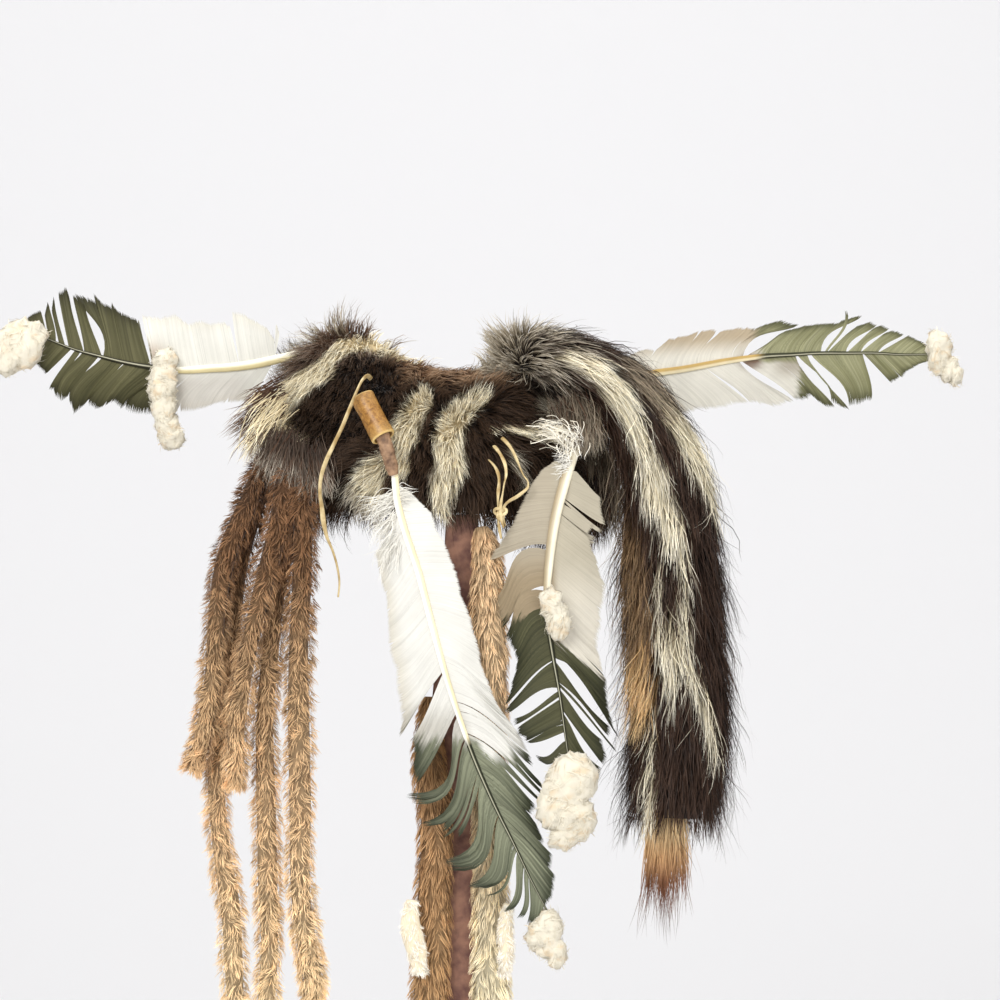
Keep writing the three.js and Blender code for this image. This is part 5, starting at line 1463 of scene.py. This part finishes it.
def build_feathers():
    """The four feathers: barbs, shafts and the down at the hanging ones' quills."""
    for name in FEATHERS:
        build_vane(name)
        build_shaft(name)
    for name in DOWN:
        build_down(name)


# ---------------------------------------------------------------- wool and down
def fluffed(places, number):
    """How far the fleece stands out from its smooth lobes."""
    return 1.1 * wander(places, 7, 72 + number) + 0.5 * wander(places, 3, 80 + number)


def build_tufts():
    """Loose lumps of fleece with curling fibres."""
    for number, (name, lobes) in enumerate(TUFTS.items()):
        rng = np.random.default_rng(71 + number)
        lobes = [lobes[0]] + [row for pair in zip(lobes, lobes[1:])
                              for row in (tuple(np.mean(pair, axis=0)), pair[1])]
        rings, turns = 14, 18
        points, faces = [], []
        for lobe in lobes:
            start = len(points) * rings * turns
            up = np.repeat(np.linspace(-math.pi / 2, math.pi / 2, rings), turns)
            round_ = np.tile(np.arange(turns) / turns * TURN, rings)
            ball = np.stack([np.cos(up) * np.cos(round_), np.cos(up) * np.sin(round_), np.sin(up)], -1)
            place = np.array(lobe[:3]) + ball * np.array(lobe[3:]) * 0.93
            place += ball * fluffed(place, number)[:, None]
            points.append(place)
            i = np.arange(rings - 1)[:, None] * turns + start
            j = np.arange(turns)[None]
            after = (j + 1) % turns
            faces.append(np.stack([i + j, i + after, i + turns + after, i + turns + j], -1).reshape(-1, 4))
        points = np.vstack(points)
        dye = np.repeat(dye_of("#ded7c5"), len(points), axis=0)
        stain = smooth(0.55, 1.1, wander(points, 9, 9))
        dye = blend(dye, dye_of("#d9b989")[0], 0.5 * stain)
        lumps = write_mesh(f"{name}_fleece", points, faces, finish("wool"), dye=dye)
        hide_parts(name)
        count, steps = 230 * len(lobes), 5
        which = rng.integers(0, len(lobes), count)
        middle, size = np.array(lobes)[which, :3], np.array(lobes)[which, 3:]
        out = unit(rng.normal(size=(count, 3)))
        turn = np.stack([wander(middle + out * size, 15, 90 + axis) for axis in range(3)], -1)
        aside = unit(np.cross(out, turn + np.array([0.2, 0.5, 0.1])) + rng.normal(0, 0.25, (count, 3)))
        share = np.linspace(0, 1, steps + 1)[None, :, None]
        loose = (rng.uniform(size=count) < 0.14)[:, None, None]
        way = unit(out[:, None] + aside[:, None] * share * rng.uniform(0.5, 1.2, (count, 1, 1)))
        roots = middle[:, None] + way * size[:, None] * 0.94
        lift = fluffed(roots.reshape(-1, 3), number).reshape(count, -1)[..., None]
        phase = rng.uniform(0, TURN, (count, 1, 1)) + share * rng.uniform(2, 8, (count, 1, 1))
        paths = roots + way * (lift + 0.25 * np.sin(phase) + loose * 3.2 * share ** 1.6)
        stain = smooth(0.55, 1.1, wander(paths[:, 3], 9, 9))
        tone = blend(dye_of("#e4ddcb")[0], dye_of("#c8ab80")[0], 0.5 * stain)
        dye = tone[:, None] * rng.uniform(0.96, 1.03, (count, 1, 1))
        ribbons(
            f"{name}_fibres", paths, way, np.full(count, 0.5), np.repeat(dye, steps + 1, axis=1),
            finish("wool"), blunt=0.5,
        )


# ---------------------------------------------------------------- tube, wrapping and ties
def build_tube():
    """The bone tube with its open bore, and the leather wound round the quill."""
    axis = TUBE_TOP - TUBE_FOOT
    length = np.linalg.norm(axis)
    axis = axis / length
    aside = unit(np.cross(axis, [0, 1, 0]))
    third = np.cross(axis, aside)
    profile = [(6.3, 0.0, 1), (7.1, -0.25, 1), (7.7, 0.3, 0.8), (7.8, 1.4, 0.2), (7.4, length * 0.3, 0),
               (7.2, length * 0.6, 0), (7.6, length - 1.2, 0.1), (7.4, length - 0.3, 0.7), (6.8, length, 0.9),
               (6.2, length - 0.2, 0.6), (6.0, length * 0.7, 0), (6.0, length * 0.3, 0), (6.1, 0.6, 0.7)]
    sides = 40
    angle = np.arange(sides) / sides * TURN
    points, worn = [], []
    for radius, height, wear in profile:
        round_ = radius * (1 + 0.02 * np.sin(3 * angle + height * 0.2))
        points.append(TUBE_FOOT + axis * height + aside * (round_ * np.cos(angle))[:, None]
                      + third * (round_ * np.sin(angle))[:, None])
        worn.append(np.full((sides, 3), wear))
    count = len(profile)
    i, j = np.arange(count)[:, None] * sides, np.arange(sides)[None]
    after, above = (j + 1) % sides, (np.arange(count)[:, None] + 1) % count * sides
    faces = np.stack([i + j, i + after, above + after, above + j], -1).reshape(-1, 4)
    bone = write_mesh(
        "tube_bone", np.vstack(points), [faces], finish("bone"), dye=np.vstack(worn),
    )
    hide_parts("bone_tube")
    place = np.linspace(0, 1, 110)
    centre, _, wide, deep = route_frame(QUILL_WRAP, place)
    ribs = 1 + 0.07 * np.abs(np.sin(place * 34)) - 0.03
    radius = centre[:, 3] * ribs
    wrap = tube(
        "wrap_leather", centre[:, :3], wide, deep, radius, radius, finish("leather"), sides=20,
    )
    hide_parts("quill_wrap")


def build_ties():
    """Flat rawhide strips that twist as they hang."""
    for number, (name, rows) in enumerate(TIES.items()):
        width = TIE_WIDTHS[name]
        place = np.linspace(0, 1, 90)
        centre, along, wide, deep = route_frame(rows, place)
        turn = 1.1 * np.sin(place * 5 + number) + 0.5 * np.sin(place * 13 + 2 * number)
        flat = wide * np.cos(turn)[:, None] + deep * np.sin(turn)[:, None]
        edge = np.cross(along, flat)
        taper = np.interp(place, [0, 0.9, 1], [1, 1, 0.55])
        strip = tube(
            f"{name}_strip", centre, flat, edge, width / 2 * taper * (1 + 0.1 * np.sin(place * 31)),
            width * 0.24 * taper, finish("rawhide"), sides=10,
        )
        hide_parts(name)


def build_knot():
    """The overhand knot, pulled tight where the three laces meet."""
    angle = np.linspace(0, TURN, 150)
    middle = np.array([38.1, -135.6, -5])
    centre = middle + 1.35 * np.stack([
        np.sin(angle) + 2 * np.sin(2 * angle),
        -1.3 * np.sin(3 * angle),
        np.cos(angle) - 2 * np.cos(2 * angle),
    ], -1)
    along = unit(np.gradient(centre, axis=0))
    wide = unit(np.cross(along, np.array([0.2, 1, 0.1])))
    knot = tube(
        "lace_knot_turns", centre, wide, unit(np.cross(wide, along)),
        np.full(len(angle), 1.0), np.full(len(angle), 0.6), finish("rawhide"), sides=8,
    )
    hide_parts("lace_knot")


# ---------------------------------------------------------------- add-on
class HeaddressSizes(bpy.types.PropertyGroup):
    """Sizes, light and colours that a user would change."""
    hair_width: FloatProperty(
        name="Hair Width", description="Width of the drawn hairs, as a share of their own",
        default=1.0, min=0.2, max=3.0, subtype="FACTOR")
    hair_length: FloatProperty(
        name="Hair Length", description="Length of the turban's and the tail's hair, as a share of its own",
        default=1.0, min=0.3, max=1.5, subtype="FACTOR")
    light: FloatProperty(
        name="Light", description="Strength of the lamps, as a share of their own",
        default=1.0, min=0.0, max=4.0, subtype="FACTOR")
    paper_colour: FloatVectorProperty(
        name="Paper Colour", description="Colour of the floor and backdrop",
        default=linear("#f1f1f3"), min=0.0, max=1.0, size=3, subtype="COLOR")
    hide_colour: FloatVectorProperty(
        name="Hide Colour", description="Lighter colour of the tanned hide",
        default=linear("#946c58"), min=0.0, max=1.0, size=3, subtype="COLOR")
    rawhide_colour: FloatVectorProperty(
        name="Rawhide Colour", description="Lighter colour of the thong and laces",
        default=linear("#e2cfa0"), min=0.0, max=1.0, size=3, subtype="COLOR")


class HEADDRESS_OT_stage(bpy.types.Operator):
    """Make the pale floor, the soft light and the camera"""
    bl_idname = "headdress.stage"
    bl_label = "Stage and Camera"

    def execute(self, context):
        build_stage()
        return {"FINISHED"}


class HEADDRESS_OT_ties(bpy.types.Operator):
    """Make the thong, the laces and their knot"""
    bl_idname = "headdress.ties"
    bl_label = "Rawhide Ties"

    def execute(self, context):
        build_knot()
        build_ties()
        return {"FINISHED"}


class HEADDRESS_OT_band(bpy.types.Operator):
    """Make the fur turban"""
    bl_idname = "headdress.band"
    bl_label = "Fur Turban"

    def execute(self, context):
        dress_hide_ring()
        build_band()
        return {"FINISHED"}


class HEADDRESS_OT_tail(bpy.types.Operator):
    """Make the bushy tail"""
    bl_idname = "headdress.tail"
    bl_label = "Tail"

    def execute(self, context):
        build_tail()
        return {"FINISHED"}


class HEADDRESS_OT_strips(bpy.types.Operator):
    """Make the twisted fur strips"""
    bl_idname = "headdress.strips"
    bl_label = "Fur Strips"

    def execute(self, context):
        build_strips()
        return {"FINISHED"}


class HEADDRESS_OT_drop(bpy.types.Operator):
    """Make the pelt drop and its white fur bits"""
    bl_idname = "headdress.drop"
    bl_label = "Pelt Drop"

    def execute(self, context):
        build_drop()
        build_ermine()
        return {"FINISHED"}


class HEADDRESS_OT_feathers(bpy.types.Operator):
    """Make the four feathers"""
    bl_idname = "headdress.feathers"
    bl_label = "Feathers"

    def execute(self, context):
        build_feathers()
        return {"FINISHED"}


class HEADDRESS_OT_tufts(bpy.types.Operator):
    """Make the wool and down tufts"""
    bl_idname = "headdress.tufts"
    bl_label = "Wool Tufts"

    def execute(self, context):
        build_tufts()
        return {"FINISHED"}


class HEADDRESS_OT_tube(bpy.types.Operator):
    """Make the bone tube and the quill's wrapping"""
    bl_idname = "headdress.tube"
    bl_label = "Bone Tube"

    def execute(self, context):
        build_tube()
        return {"FINISHED"}


OPERATORS = [
    HEADDRESS_OT_stage, HEADDRESS_OT_ties, HEADDRESS_OT_band, HEADDRESS_OT_tail, HEADDRESS_OT_strips,
    HEADDRESS_OT_drop, HEADDRESS_OT_feathers, HEADDRESS_OT_tufts, HEADDRESS_OT_tube,
]


class HEADDRESS_PT_panel(bpy.types.Panel):
    """Lists the pieces of the headdress"""
    bl_label = "Headdress"
    bl_space_type = "VIEW_3D"
    bl_region_type = "UI"
    bl_category = "Headdress"

    def draw(self, context):
        for kind in OPERATORS:
            self.layout.operator(kind.bl_idname)
        for setting in HeaddressSizes.__annotations__:
            self.layout.prop(context.scene.headdress_sizes, setting)


CLASSES = [HeaddressSizes, *OPERATORS, HEADDRESS_PT_panel]


def register():
    for kind in CLASSES:
        bpy.utils.register_class(kind)
    bpy.types.Scene.headdress_sizes = PointerProperty(type=HeaddressSizes)


def unregister():
    del bpy.types.Scene.headdress_sizes
    for kind in reversed(CLASSES):
        bpy.utils.unregister_class(kind)


def main():
    """Builds everything round the frame."""
    register()
    for kind in OPERATORS:
        group, call = kind.bl_idname.split(".")
        getattr(getattr(bpy.ops, group), call)()


if __name__ == "__main__":
    main()
